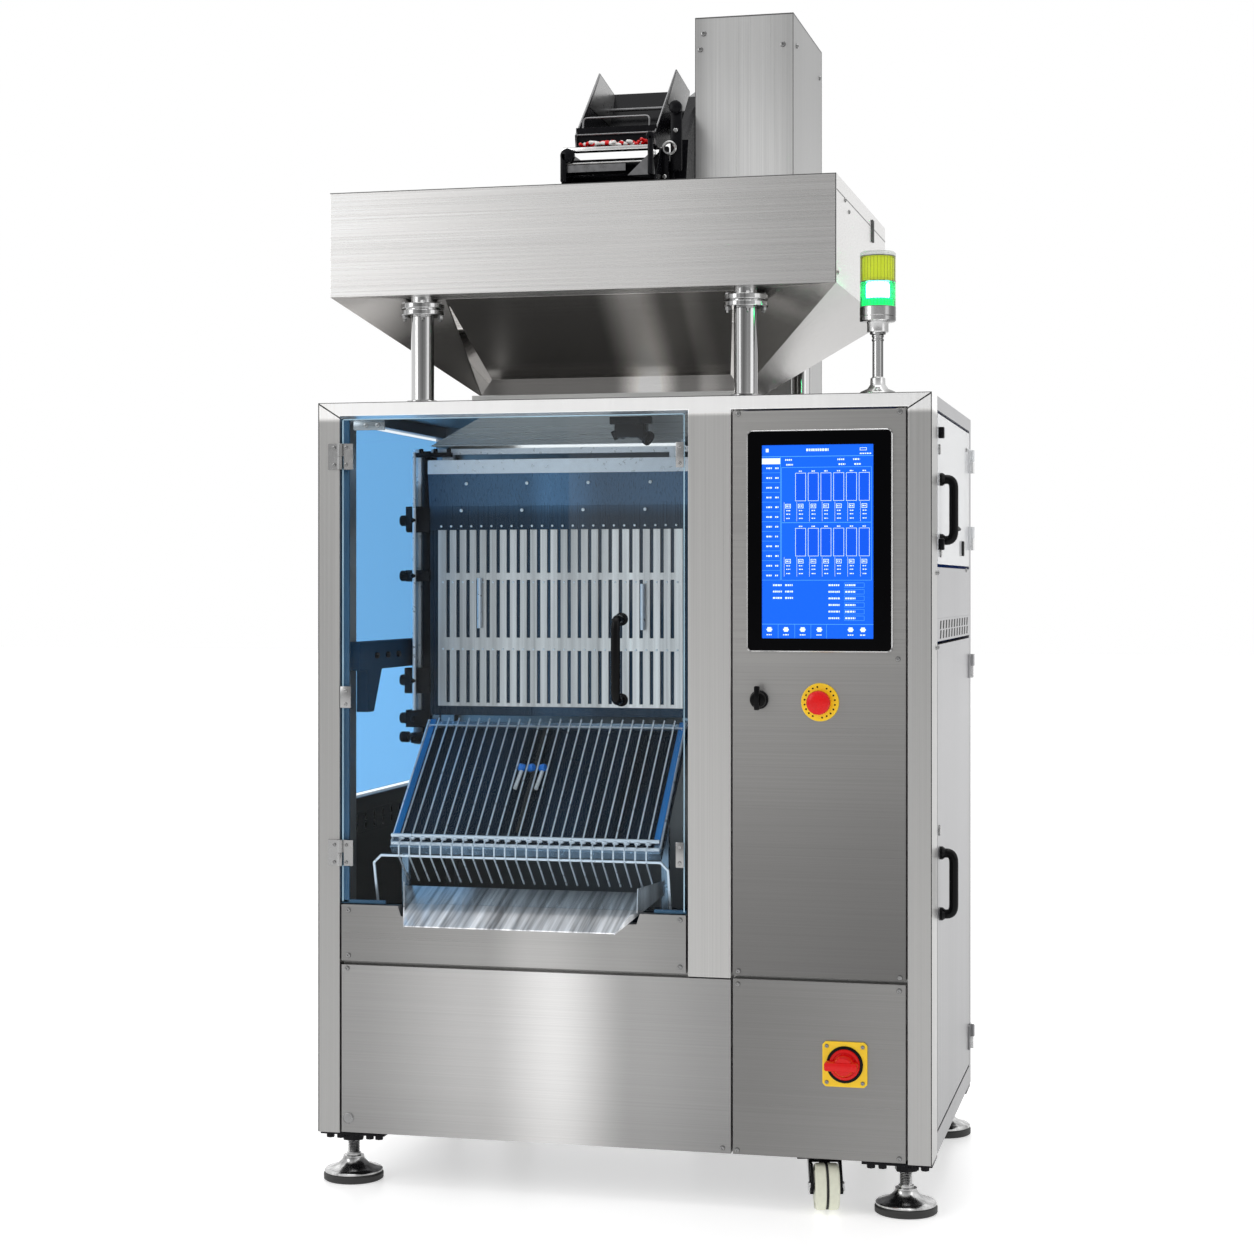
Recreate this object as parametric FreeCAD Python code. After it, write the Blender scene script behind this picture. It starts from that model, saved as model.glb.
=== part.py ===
import FreeCAD, Part
import math
import os

# Capsule checkweigher: a stainless cabinet on levelling feet and casters, with a hopper on top,
# a lift column behind it and a row of slotted guides, wires and a discharge tray at the front.
# Sizes are in millimetres. X runs to the right, Y from the front to the back, Z up from the floor.
# While the pieces are made, x = 0 is the cabinet's middle and y = 0 its front plane.

# Cabinet
cabinet_width = 1000.0
cabinet_depth = 640.0
cabinet_bottom = 83.0
cabinet_top = 1273.0
post_width = 37.0
post_depth = 80.0
rear_post_depth = 25.0
top_rail_height = 22.0
side_rail_depth = 20.0
bottom_rail_height = 33.0
bottom_rail_depth = 20.0
panel_thickness = 20.0
panel_gap = 3.0
door_gap = 5.0
sheet = 2.0
pan_height = 103.0
tube_sides = 12
pad_sides = 20
half_width = cabinet_width / 2.0
post_inner = half_width - post_width
rail_bottom = cabinet_top - top_rail_height

# Front layout
control_width = 277.0
middle_post_width = 69.0
control_left = post_inner - control_width
chamber_right = control_left - middle_post_width
chute_panel_bottom = 363.0
chute_panel_top = 456.0
rail_behind_depth = 30.0
rail_behind_height = 40.0
partition_thickness = 3.0
deck_lift = 17.0

# Front door and hinges
glass_thickness = 6.0
hinge_height = 42.0
hinge_leaf = 16.0
hinge_leaf_thickness = 3.0
knuckle_radius = 4.5
pin_radius = 2.5
running_clearance = 0.1
face_clearance = 0.3
knuckle_lift = 0.5
hinge_low_z = 540.0
hinge_high_z = 1185.0

# Pull handles
handle_length = 135.0
handle_reach = 42.0
side_handle_length = 104.0
side_handle_reach = 22.0
handle_bar_radius = 7.5
handle_bend = 14.0
front_handle_inset = 107.0
front_handle_z = 858.0

# Side doors and fixed side panels
upper_door_bottom = 1009.0
lower_door_top = 884.0
door_skin = 3.0
vent_bottom = 887.0
vent_top = 923.0
vent_slot_width = 10.0
vent_slot_height = 12.0
vent_slot_pitch = 44.0
left_vent_drop = 330.0
left_door_bottom = 622.0
side_handle_inset = 38.0
upper_handle_z = 1095.0
lower_handle_z = 503.0
left_handle_z = 900.0
side_hinge_inset = 50.0

# Controls
bezel_inset = 26.0
bezel_width = 228.0
bezel_height = 345.0
bezel_drop = 56.0
bezel_rim = 6.0
bezel_reach = 5.0
bezel_depth = 45.0
bezel_left = control_left + bezel_inset
bezel_right = bezel_left + bezel_width
bezel_top = cabinet_top - bezel_drop
bezel_bottom = bezel_top - bezel_height
stop_inset = 141.0
stop_x = control_left + stop_inset
stop_z = 794.0
stop_plate_radius = 30.0
stop_plate_thickness = 4.0
stop_head_radius = 19.0
stop_head_length = 13.0
stop_stem_radius = 10.0
stop_travel = 4.0
selector_inset = 45.0
selector_x = control_left + selector_inset
selector_z = 797.0
selector_radius = 13.0
selector_collar_radius = 15.0
main_switch_inset = 180.0
main_switch_x = control_left + main_switch_inset
main_switch_z = 234.0
main_switch_plate = 70.0
main_switch_corner = 5.0
main_switch_radius = 26.0
shaft_radius = 5.0
shaft_reach = 12.0

# Hopper
hopper_centre = -65.0
hopper_side_inset = 83.5
hopper_width = cabinet_width - 2 * hopper_side_inset
hopper_front = 5.0
hopper_rear_inset = 45.0
hopper_rear = cabinet_depth - hopper_rear_inset
hopper_lift = 173.0
hopper_band_height = 170.0
hopper_bottom = cabinet_top + hopper_lift
hopper_top = hopper_bottom + hopper_band_height
hopper_sheet = 3.0
hopper_ledge = 72.0
neck_half_width = 208.0
base_ledge = 19.0
base_half_width = neck_half_width + base_ledge
crease_step = 14.0
crease_half_width = base_half_width + crease_step
neck_half_depth = 75.0
neck_height = 28.0
base_height = 25.0
base_top = cabinet_top + base_height
base_flange = 12.0
roof_hole_margin = 6.0
hopper_middle_y = (hopper_front + hopper_rear) / 2.0
neck_front = hopper_middle_y - neck_half_depth
neck_rear = hopper_middle_y + neck_half_depth

# Hopper pillars
pillar_radius = 19.0
pillar_half_spacing = 268.0
pillar_inset = 36.0
pillar_flange_radius = 30.0
pillar_flange_thickness = 5.0
pillar_joint_drop = 21.0
pillar_joint_z = hopper_bottom - pillar_joint_drop

# Lift column, its arm, the bucket and the chute under it
column_left = -8.0
column_width = 184.0
column_gap = 10.0
column_front = cabinet_depth + column_gap
column_depth = 337.0
column_rear = column_front + column_depth
column_rise = 410.0
column_top = hopper_top + column_rise
column_foot_reach = 60.0
column_foot_thickness = 10.0
column_bracket_inset = 110.0
column_bracket_height = 60.0
arm_thickness = 22.0
arm_spacer = 18.0
bucket_width = 151.0
bucket_gap = 28.0
bucket_right = column_left - arm_thickness - bucket_gap
bucket_left = bucket_right - bucket_width
bucket_sheet = 2.0
bucket_setback = 85.0
bucket_rise = 234.0
bucket_pivot_y = column_front + bucket_setback
bucket_pivot_z = hopper_top + bucket_rise
bucket_throw = 190.0
bucket_lip_drop = 85.0
bucket_nose_height = 32.0
bucket_peak_height = 98.0
bucket_back_reach = 103.0
bucket_flap_lift = 16.0
bucket_flap_height = 31.0
trunnion_radius = 10.0
chute_reach = 150.0
chute_gap = 16.0
chute_lift = 44.0
chute_height = 108.0
chute_front = column_front - chute_reach
chute_rear = column_front - chute_gap
chute_low = hopper_top + chute_lift
chute_high = chute_low + chute_height
chute_fall = 40.0
chute_mouth = 45.0
chute_flap_width = 52.0
chute_sheet = 3.0

# Signal lamp
lamp_inset = 91.0
lamp_x = half_width - lamp_inset
lamp_y = 60.0
lamp_base_radius = 31.0
lamp_base_height = 28.0
lamp_pole_radius = 8.5
lamp_pole_height = 92.0
lamp_neck_height = 24.0
lamp_body_radius = 28.5
lamp_collar_height = 22.0
lens_height = 40.0
lamp_cap_height = 8.0

# Guides: slotted plate, housing behind it, bars and rods
lane_count = 24
guide_side_gap = 74.0
lane_pitch = (chamber_right + post_inner - 2 * guide_side_gap) / lane_count
slot_width = 6.0
guide_shift = 11.0
guide_centre = (chamber_right - post_inner) / 2.0 + guide_shift
guide_half = lane_count * lane_pitch / 2.0
guide_front = 255.0
guide_sheet = 3.0
guide_bottom = 768.0
guide_height = 303.0
guide_top = guide_bottom + guide_height
slot_rows = ((6.0, 96.0), (118.0, 217.0), (229.0, guide_height))
head_band_height = 41.0
head_height = 55.0
head_band_top = guide_top + head_band_height
head_top = head_band_top + head_height
head_depth = 60.0
head_lean = 8.0
guide_housing_depth = 160.0
guide_housing_drop = 16.0
guide_margin = 15.0
crossbar_height = 24.0
crossbar_gap = 10.0
outlet_bottom = head_top + 46.0
outlet_front = guide_front - 43.0
outlet_rear = guide_front + 45.0
rod_radius = 9.0
rod_offset = 27.0
rod_seat = 20.0
rod_bottom = 700.0
clamp_width = 34.0
clamp_levels = ((guide_top - 1, head_band_top), (guide_bottom + 214, guide_bottom + 234),
                (guide_bottom - 38, guide_bottom - 8))
beam_bottom = guide_bottom + 67.0
beam_height = 47.0
beam_top = beam_bottom + beam_height
beam_depth = 40.0
beam_setback = 60.0
gusset_height = 70.0

# Wire slide and discharge tray
slide_top_y = guide_front - 9.0
slide_top_z = guide_bottom - 26.0
slide_bottom_y = 34.0
slide_bottom_z = 548.0
slide_half_width = guide_half + 11.0
stringer_width = 12.0
stringer_height = 16.0
slide_sheet = 2.0
slide_bed_drop = 6.0
wire_radius = 1.6
wire_lift = 12.0
wire_sides = 4
wire_overhang = 6.0
wire_fall_y = 72.0
wire_fall_z = 489.0
stand_radius = 2.5
stand_z = 535.0
stand_foot_y = 58.0
stand_bend = 12.0
stand_shin = 20.0
tray_lip_y = -50.0
tray_lip_z = 430.0
tray_lip_half_width = 173.0
tray_rear_y = 90.0
tray_rear_z = 476.0
tray_rear_half_width = 220.0
tray_sheet = 2.0
tray_wing_height = 42.0
tray_rear_rise = 22.0
tray_foot_x = 150.0
tray_foot_y = 70.0
tray_foot_width = 30.0

# Feet and casters
foot_inset = 45.0
foot_radius = 50.0
pad_height = 12.0
foot_cone_height = 26.0
stem_radius = 10.0
nut_radius = 19.0
nut_height = 14.0
foot_plate_x = 110.0
foot_plate_y = 70.0
foot_plate_shift = 10.0
foot_plate_thickness = 5.0
caster_inset = 175.0
caster_x = half_width - caster_inset
caster_y = 55.0
caster_turn = 13.5
wheel_radius = 36.0
wheel_width = 38.0
wheel_floor_gap = 3.0
wheel_trail = 40.0
wheel_edge = 3.0
wheel_side_gap = 3.0
caster_plate_x = 90.0
caster_plate_y = 66.0
caster_plate_thickness = 3.0
riser_x = 40.0
riser_y = 20.0
fork_sheet = 4.0
fork_half_depth = 15.0
kingpin_radius = 6.0
kingpin_head = 4.0
race_radius = 24.0
race_height = 5.0
axle_radius = 5.0

# Places worked out from the sizes above
origin_shift = FreeCAD.Vector(0, -(column_rear + tray_lip_y) / 2.0, 0)
x_axis = FreeCAD.Vector(1, 0, 0)
y_axis = FreeCAD.Vector(0, 1, 0)
z_axis = FreeCAD.Vector(0, 0, 1)


def vec(x, y, z):
    return FreeCAD.Vector(x, y, z)


def block(x_span, y_span, z_span):
    size = [span[1] - span[0] for span in (x_span, y_span, z_span)]
    return Part.makeBox(size[0], size[1], size[2], vec(x_span[0], y_span[0], z_span[0]))


def rod(radius, start, end):
    line = end.sub(start)
    return Part.makeCylinder(radius, line.Length, start, line)


def join(shapes):
    body = shapes[0]
    if len(shapes) > 1:
        body = body.multiFuse(shapes[1:])
    return body.removeSplitter()


def profile_x(points, x_span):
    """A plate with an outline of (y, z) points, between two x values."""
    wire = Part.makePolygon([vec(x_span[0], y, z) for y, z in points + points[:1]])
    return Part.Face(wire).extrude(vec(x_span[1] - x_span[0], 0, 0))


def profile_y(points, y_span):
    """A plate with an outline of (x, z) points, between two y values."""
    wire = Part.makePolygon([vec(x, y_span[0], z) for x, z in points + points[:1]])
    return Part.Face(wire).extrude(vec(0, y_span[1] - y_span[0], 0))


def turned(points, centre, direction):
    """A turned piece: (radius, height) points round a line from centre along direction."""
    outline = [vec(r, 0, h) for r, h in points]
    face = Part.Face(Part.makePolygon(outline + outline[:1]))
    piece = face.revolve(vec(0, 0, 0), z_axis, 360)
    piece.Placement = FreeCAD.Placement(centre, FreeCAD.Rotation(z_axis, direction))
    return piece


def sheet_on(points, thickness):
    """A flat sheet with corners at points, thickened along its own normal."""
    face = Part.Face(Part.makePolygon(points + points[:1]))
    normal = face.normalAt(0, 0)
    return face.extrude(normal * thickness)


def solid_from(faces):
    """A closed solid from flat faces, each given by its corners."""
    skins = [Part.Face(Part.makePolygon(corners + corners[:1])) for corners in faces]
    body = Part.makeSolid(Part.makeShell(skins))
    if body.Volume < 0:
        body.reverse()
    return body


def flat_ring(radius, z, sides):
    angles = [2 * math.pi * (index + 0.5) / sides for index in range(sides)]
    return [vec(radius * math.cos(angle), radius * math.sin(angle), z) for angle in angles]


def stacked(rings):
    """A solid with flat faces between rings of equal numbers of corners."""
    faces = [rings[0], rings[-1]]
    for low, high in zip(rings, rings[1:]):
        for index in range(len(low)):
            after = (index + 1) % len(low)
            faces.append([low[index], low[after], high[after], high[index]])
    return solid_from(faces)


def mitred_bar(points, radius, sides):
    """A bar of few sides that follows points, mitred at each corner."""
    turn = FreeCAD.Rotation(z_axis, points[1].sub(points[0]))
    rings = [[points[0].add(turn.multVec(corner)) for corner in flat_ring(radius, 0, sides)]]
    for index in range(1, len(points)):
        run = points[index].sub(points[index - 1]).normalize()
        normal = run
        if index + 1 < len(points):
            normal = run.add(points[index + 1].sub(points[index]).normalize())
        rings.append([corner.add(run * (normal.dot(points[index].sub(corner)) / normal.dot(run)))
                      for corner in rings[-1]])
    return stacked(rings)


def faceted(points, sides):
    """An upright piece of flat sides: (radius, z) points from the bottom to the top."""
    return stacked([flat_ring(radius, z, sides) for radius, z in points])


def at(shape, x, y, z):
    shape.translate(vec(x, y, z))
    return shape


def mirror_x(shape):
    return shape.mirror(vec(0, 0, 0), x_axis)


def save(name, shapes):
    """Writes one node: one solid, or several that stand apart."""
    moved = [shape.copy() for shape in shapes]
    for shape in moved:
        shape.translate(origin_shift)
    body = moved[0] if len(moved) == 1 else Part.makeCompound(moved)
    body.exportStep("parts/" + name + ".step")


# Cabinet frame and panels

def front_frame():
    inner_depth = panel_thickness + rail_behind_depth
    upper_z = chute_panel_bottom - panel_gap
    lower_z = cabinet_bottom + 2.0
    posts = [block((-half_width, -post_inner), (0, post_depth), (cabinet_bottom, cabinet_top)),
             block((post_inner, half_width), (0, post_depth), (cabinet_bottom, cabinet_top))]
    top = block((-half_width, half_width), (0, post_depth), (rail_bottom, cabinet_top))
    middle = block((chamber_right, control_left), (0, inner_depth), (upper_z, cabinet_top))
    stile = block((chamber_right, control_left + 2 * panel_gap + 12),
                  (panel_thickness, inner_depth), (lower_z, cabinet_top))
    cross = block((-post_inner, post_inner), (panel_thickness, inner_depth),
                  (upper_z - rail_behind_height / 2, upper_z + rail_behind_height / 2))
    bottom = block((-post_inner, post_inner), (panel_thickness, panel_thickness + bottom_rail_depth),
                   (lower_z, lower_z + bottom_rail_height))
    side_stop = block((post_inner - 20, post_inner), (panel_thickness, inner_depth),
                      (lower_z, cabinet_top))
    return join(posts + [top, middle, stile, cross, bottom, side_stop])


def body_frame():
    """Rear posts, side rails, the floor pan and the blocks that the feet screw into."""
    rear = cabinet_depth
    pan_front = panel_thickness + rail_behind_depth
    parts = [block((-post_inner, post_inner), (rear - rear_post_depth - 5, rear - sheet),
                   (rail_bottom, cabinet_top - sheet)),
             block((-post_inner, post_inner), (rear - rear_post_depth - 5, rear - sheet),
                   (cabinet_bottom, cabinet_bottom + bottom_rail_height)),
             block((-post_inner, post_inner), (pan_front, rear - sheet),
                   (pan_height, pan_height + sheet))]
    for side in (-1, 1):
        outer = side * half_width
        inner = side * post_inner
        rail_in = side * (half_width - side_rail_depth)
        span = (min(outer, inner), max(outer, inner))
        rail = (min(outer, rail_in), max(outer, rail_in))
        parts.append(block(span, (rear - rear_post_depth, rear), (cabinet_bottom, cabinet_top)))
        parts.append(block(rail, (post_depth, rear), (rail_bottom, cabinet_top)))
        parts.append(block(span, (post_depth, rear),
                           (cabinet_bottom, cabinet_bottom + bottom_rail_height)))
    return join(parts)



def top_panel():
    inner = half_width - side_rail_depth
    plate = block((-inner, inner), (post_depth, cabinet_depth - sheet),
                  (cabinet_top - sheet, cabinet_top))
    reach_x = neck_half_width + roof_hole_margin
    reach_y = neck_half_depth + roof_hole_margin / 2
    cuts = [block((hopper_centre - reach_x, hopper_centre + reach_x),
                  (hopper_middle_y - reach_y, hopper_middle_y + reach_y),
                  (cabinet_top - 2 * sheet, cabinet_top + 1))]
    for side in (-1, 1):
        cuts.append(block((side * half_width - post_width, side * half_width + post_width),
                          (cabinet_depth - rear_post_depth, cabinet_depth),
                          (cabinet_top - 2 * sheet, cabinet_top + 1)))
    return plate.cut(Part.makeCompound(cuts))


def rear_panel():
    return block((-post_inner, post_inner), (cabinet_depth - sheet, cabinet_depth),
                 (cabinet_bottom, cabinet_top - sheet))


def right_panel_span():
    return (control_left + panel_gap, post_inner - panel_gap)


def control_panel():
    plate = block(right_panel_span(), (0, panel_thickness),
                  (chute_panel_bottom + panel_gap, rail_bottom - panel_gap))
    window = block((bezel_left + bezel_rim, bezel_right - bezel_rim), (-1, panel_thickness + 1),
                   (bezel_bottom + bezel_rim, bezel_top - bezel_rim))
    stop_bore = Part.makeCylinder(stop_stem_radius + 1, panel_thickness + 2,
                                  vec(stop_x, -1, stop_z), y_axis)
    selector_bore = Part.makeCylinder(shaft_radius + 1, panel_thickness + 2,
                                      vec(selector_x, -1, selector_z), y_axis)
    return plate.cut(window).cut(stop_bore).cut(selector_bore)


def switch_panel():
    plate = block(right_panel_span(), (0, panel_thickness),
                  (cabinet_bottom + 2, chute_panel_bottom - panel_gap))
    bore = Part.makeCylinder(shaft_radius + 1, panel_thickness + 2,
                             vec(main_switch_x, -1, main_switch_z), y_axis)
    return plate.cut(bore)


def lower_front_panel():
    return block((-post_inner + panel_gap, control_left), (0, panel_thickness),
                 (cabinet_bottom + 2, chute_panel_bottom - panel_gap - 2))


def chute_panel():
    low = chute_panel_bottom + 1
    plate = block((-post_inner + panel_gap, chamber_right - panel_gap), (0, panel_thickness),
                  (low, chute_panel_top))
    half_front = tray_half_width(0) + door_gap
    half_rear = tray_half_width(panel_thickness) + door_gap
    half = max(half_front, half_rear)
    floor_z = tray_floor_z(0) - tray_sheet - door_gap
    notch = profile_y([(guide_centre - half, chute_panel_top + 1),
                       (guide_centre + half, chute_panel_top + 1),
                       (guide_centre + half - 6, floor_z),
                       (guide_centre - half + 6, floor_z)], (-1, panel_thickness + 1))
    return plate.cut(notch)


def chamber_lining():
    """The folded sheet that parts the chamber from the controls and makes its floor."""
    rear = cabinet_depth - rear_post_depth - 5
    front = panel_thickness + rail_behind_depth
    deck_z = chute_panel_bottom + deck_lift
    wall = block((chamber_right, chamber_right + partition_thickness), (front, rear),
                 (deck_z, rail_bottom))
    deck = block((-post_inner, chamber_right), (post_depth, rear),
                 (deck_z, deck_z + partition_thickness))
    front_deck = block((-post_inner, chamber_right), (front, post_depth),
                       (deck_z, deck_z + partition_thickness))
    return join([wall, deck, front_deck])


def side_span(side, thickness):
    edges = (side * half_width, side * (half_width - thickness))
    return (min(edges), max(edges))


def side_panels():
    """Fixed panels: one above the vents on the right, and the steel under the left door."""
    y_span = (post_depth, cabinet_depth - rear_post_depth)
    right = block(side_span(1, side_rail_depth), y_span, (vent_top, upper_door_bottom - door_gap))
    left = block(side_span(-1, side_rail_depth), y_span,
                 (vent_top - left_vent_drop, left_door_bottom - door_gap))
    lower = block(side_span(-1, side_rail_depth), y_span,
                  (cabinet_bottom + bottom_rail_height, vent_bottom - left_vent_drop))
    return [right, left, lower]


def vent_panel(side, drop):
    y_span = (post_depth, cabinet_depth - rear_post_depth)
    low = vent_bottom - drop
    panel = block(side_span(side, side_rail_depth), y_span, (low, vent_top - drop))
    slots = []
    y = y_span[0] + vent_slot_pitch
    while y < y_span[1] - vent_slot_pitch:
        for row in (0.29, 0.71):
            z = low + (vent_top - vent_bottom) * row
            slots.append(block(side_span(side, side_rail_depth + 1), (y, y + vent_slot_width),
                               (z - vent_slot_height / 2, z + vent_slot_height / 2)))
            slots[-1].translate(vec(side, 0, 0))
        y += vent_slot_pitch
    return panel.cut(Part.makeCompound(slots))


# Doors, hinges and handles

def hinge_pair(z):
    """One lift-off hinge about an upright pin: (fixed half, moving half). The fixed leaf lies
    on the -x side, the moving leaf on the +x side, both with their backs on the plane y = 0."""
    pin_y = -(knuckle_radius + knuckle_lift)
    low = z - hinge_height / 2
    high = z + hinge_height / 2
    start = knuckle_radius + 1
    halves = []
    for side, bottom, top in ((-1, low, z), (1, z + face_clearance, high)):
        leaf_edges = (side * start, side * (start + hinge_leaf))
        strap_edges = (0, side * (start + 1))
        barrel = at(faceted([(knuckle_radius, bottom), (knuckle_radius, top)], 6), 0, pin_y, 0)
        leaf = block((min(leaf_edges), max(leaf_edges)), (-hinge_leaf_thickness, 0), (low, high))
        strap = block((min(strap_edges), max(strap_edges)), (-hinge_leaf_thickness, -knuckle_lift),
                      (bottom, top))
        halves.append(join([leaf, strap, barrel]))
    pin = rod(pin_radius, vec(0, pin_y, low + 1), vec(0, pin_y, high - 1))
    bore = rod(pin_radius + running_clearance, vec(0, pin_y, low), vec(0, pin_y, high + 1))
    return join([halves[0], pin]), halves[1].cut(bore)


def placed(shape, x, y, angle):
    turn = FreeCAD.Rotation(z_axis, angle)
    copy = shape.copy()
    copy.Placement = FreeCAD.Placement(vec(x, y, 0), turn)
    return copy


def hinge_set(x, y, angle, heights, flip=False):
    fixed, moving = [], []
    for z in heights:
        one, two = hinge_pair(z)
        if flip:
            one, two = mirror_x(one), mirror_x(two)
        fixed.append(placed(one, x, y, angle))
        moving.append(placed(two, x, y, angle))
    return fixed, moving


def pull_handle(length, reach):
    """A bow handle that stands out towards -y from the plane y = 0, about z = 0."""
    half = length / 2
    bend = handle_bend
    route = [(0, half), (bend - reach, half), (-reach, half - bend), (-reach, bend - half),
             (bend - reach, -half), (0, -half)]
    return mitred_bar([vec(0, y, z) for y, z in route], handle_bar_radius, 8)


front_door_left = -post_inner + door_gap
front_door_right = chamber_right - door_gap
front_door_bottom = chute_panel_top + door_gap
front_door_top = rail_bottom - door_gap
front_hinge_x = -post_inner + door_gap / 2


def front_door_glass():
    return block((front_door_left, front_door_right), (0, glass_thickness),
                 (front_door_bottom, front_door_top))


def side_door_y():
    return (post_depth + door_gap, cabinet_depth - rear_post_depth - door_gap)


def steel_door(side, z_span):
    """A folded sheet door: a flat skin with a flange all round its inner side."""
    y_span = side_door_y()
    slab = block(side_span(side, panel_thickness), y_span, z_span)
    inner = sorted((side * (half_width - door_skin), side * (half_width - panel_thickness - 1)))
    hollow = block(inner, (y_span[0] + door_skin, y_span[1] - door_skin),
                   (z_span[0] + door_skin, z_span[1] - door_skin))
    return slab.cut(hollow)


def glass_door(side, z_span):
    return block(side_span(side, glass_thickness), side_door_y(), z_span)


def side_handle(side, z, length):
    handle = pull_handle(length, side_handle_reach)
    handle = placed(handle, side * half_width, side_door_y()[0] + side_handle_inset, 90 * side)
    handle.translate(vec(0, 0, z))
    return handle


def side_hinges(side, heights):
    """Hinges at the rear edge of a side door; the fixed leaf lies on the rear post."""
    y = cabinet_depth - rear_post_depth - door_gap / 2
    return hinge_set(side * half_width, y, 90 * side, heights, flip=side > 0)


# Controls

def screen_bezel():
    outer = block((bezel_left, bezel_right), (-bezel_reach, 0), (bezel_bottom, bezel_top))
    collar = block((bezel_left + bezel_rim, bezel_right - bezel_rim), (0, bezel_depth),
                   (bezel_bottom + bezel_rim, bezel_top - bezel_rim))
    glass_seat = block((bezel_left + bezel_rim, bezel_right - bezel_rim), (-bezel_reach - 1, -2),
                       (bezel_bottom + bezel_rim, bezel_top - bezel_rim))
    return join([outer, collar]).cut(glass_seat)


def screen_glass():
    return block((bezel_left + bezel_rim, bezel_right - bezel_rim), (-bezel_reach + 0.5, -2),
                 (bezel_bottom + bezel_rim, bezel_top - bezel_rim))


def switch_plates():
    """The yellow plates under the emergency stop and round the main switch."""
    stop = turned([(stop_stem_radius + running_clearance, 0), (stop_plate_radius, 0),
                   (stop_plate_radius - 1, stop_plate_thickness),
                   (stop_stem_radius + running_clearance, stop_plate_thickness)],
                  vec(stop_x, 0, stop_z), -y_axis)
    half = main_switch_plate / 2
    cut = main_switch_corner
    plate = profile_y([(-half, cut - half), (cut - half, -half), (half - cut, -half),
                       (half, cut - half), (half, half - cut), (half - cut, half),
                       (cut - half, half), (-half, half - cut)], (-4, 0))
    bore = Part.makeCylinder(shaft_radius + running_clearance, 10, vec(0, -6, 0), y_axis)
    return [stop, at(plate.cut(bore), main_switch_x, 0, main_switch_z)]


def stop_button():
    face = stop_plate_thickness + stop_travel + 7
    head = [(0, -shaft_reach), (stop_stem_radius, -shaft_reach), (stop_stem_radius, face), (stop_head_radius, face),
            (stop_head_radius, face + 7), (stop_head_radius - 4, face + stop_head_length - 1),
            (stop_head_radius - 9, face + stop_head_length), (0, face + stop_head_length)]
    return turned(head, vec(stop_x, 0, stop_z), -y_axis)


def selector_collar():
    return turned([(shaft_radius + running_clearance, 0), (selector_collar_radius, 0),
                   (selector_collar_radius, 3), (shaft_radius + running_clearance, 3)],
                  vec(selector_x, 0, selector_z), -y_axis)


def selector_key():
    base = 3 + face_clearance
    knob = turned([(0, -shaft_reach), (shaft_radius, -shaft_reach), (shaft_radius, base), (selector_radius, base),
                   (selector_radius - 1, base + 9), (0, base + 9)],
                  vec(selector_x, 0, selector_z), -y_axis)
    grip = block((selector_x - 3, selector_x + 3), (-base - 22, -base - 8),
                 (selector_z - selector_radius + 2, selector_z + selector_radius + 6))
    return join([knob, grip])


def main_switch_handle():
    base = 4 + face_clearance
    disc = turned([(0, -shaft_reach), (shaft_radius, -shaft_reach), (shaft_radius, base), (main_switch_radius, base),
                   (main_switch_radius, base + 6), (main_switch_radius - 3, base + 9),
                   (0, base + 9)], vec(main_switch_x, 0, main_switch_z), -y_axis)
    grip = block((main_switch_x - main_switch_radius - 3, main_switch_x + main_switch_radius + 3),
                 (-base - 26, -base - 8), (main_switch_z - 6, main_switch_z + 6))
    return join([disc, grip])


# Hopper

hopper_left = hopper_centre - hopper_width / 2
hopper_right = hopper_centre + hopper_width / 2


def hopper_band():
    outer = block((hopper_left, hopper_right), (hopper_front, hopper_rear),
                  (hopper_bottom, hopper_top))
    inner = block((hopper_left + hopper_sheet, hopper_right - hopper_sheet),
                  (hopper_front + hopper_sheet, hopper_rear - hopper_sheet),
                  (hopper_bottom - 1, hopper_top + 1))
    parts = [outer.cut(inner)]
    for y_span in ((hopper_front, hopper_ledge), (2 * hopper_middle_y - hopper_ledge, hopper_rear)):
        parts.append(block((hopper_left, hopper_right), y_span,
                           (hopper_bottom, hopper_bottom + hopper_sheet)))
    return join(parts)


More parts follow.
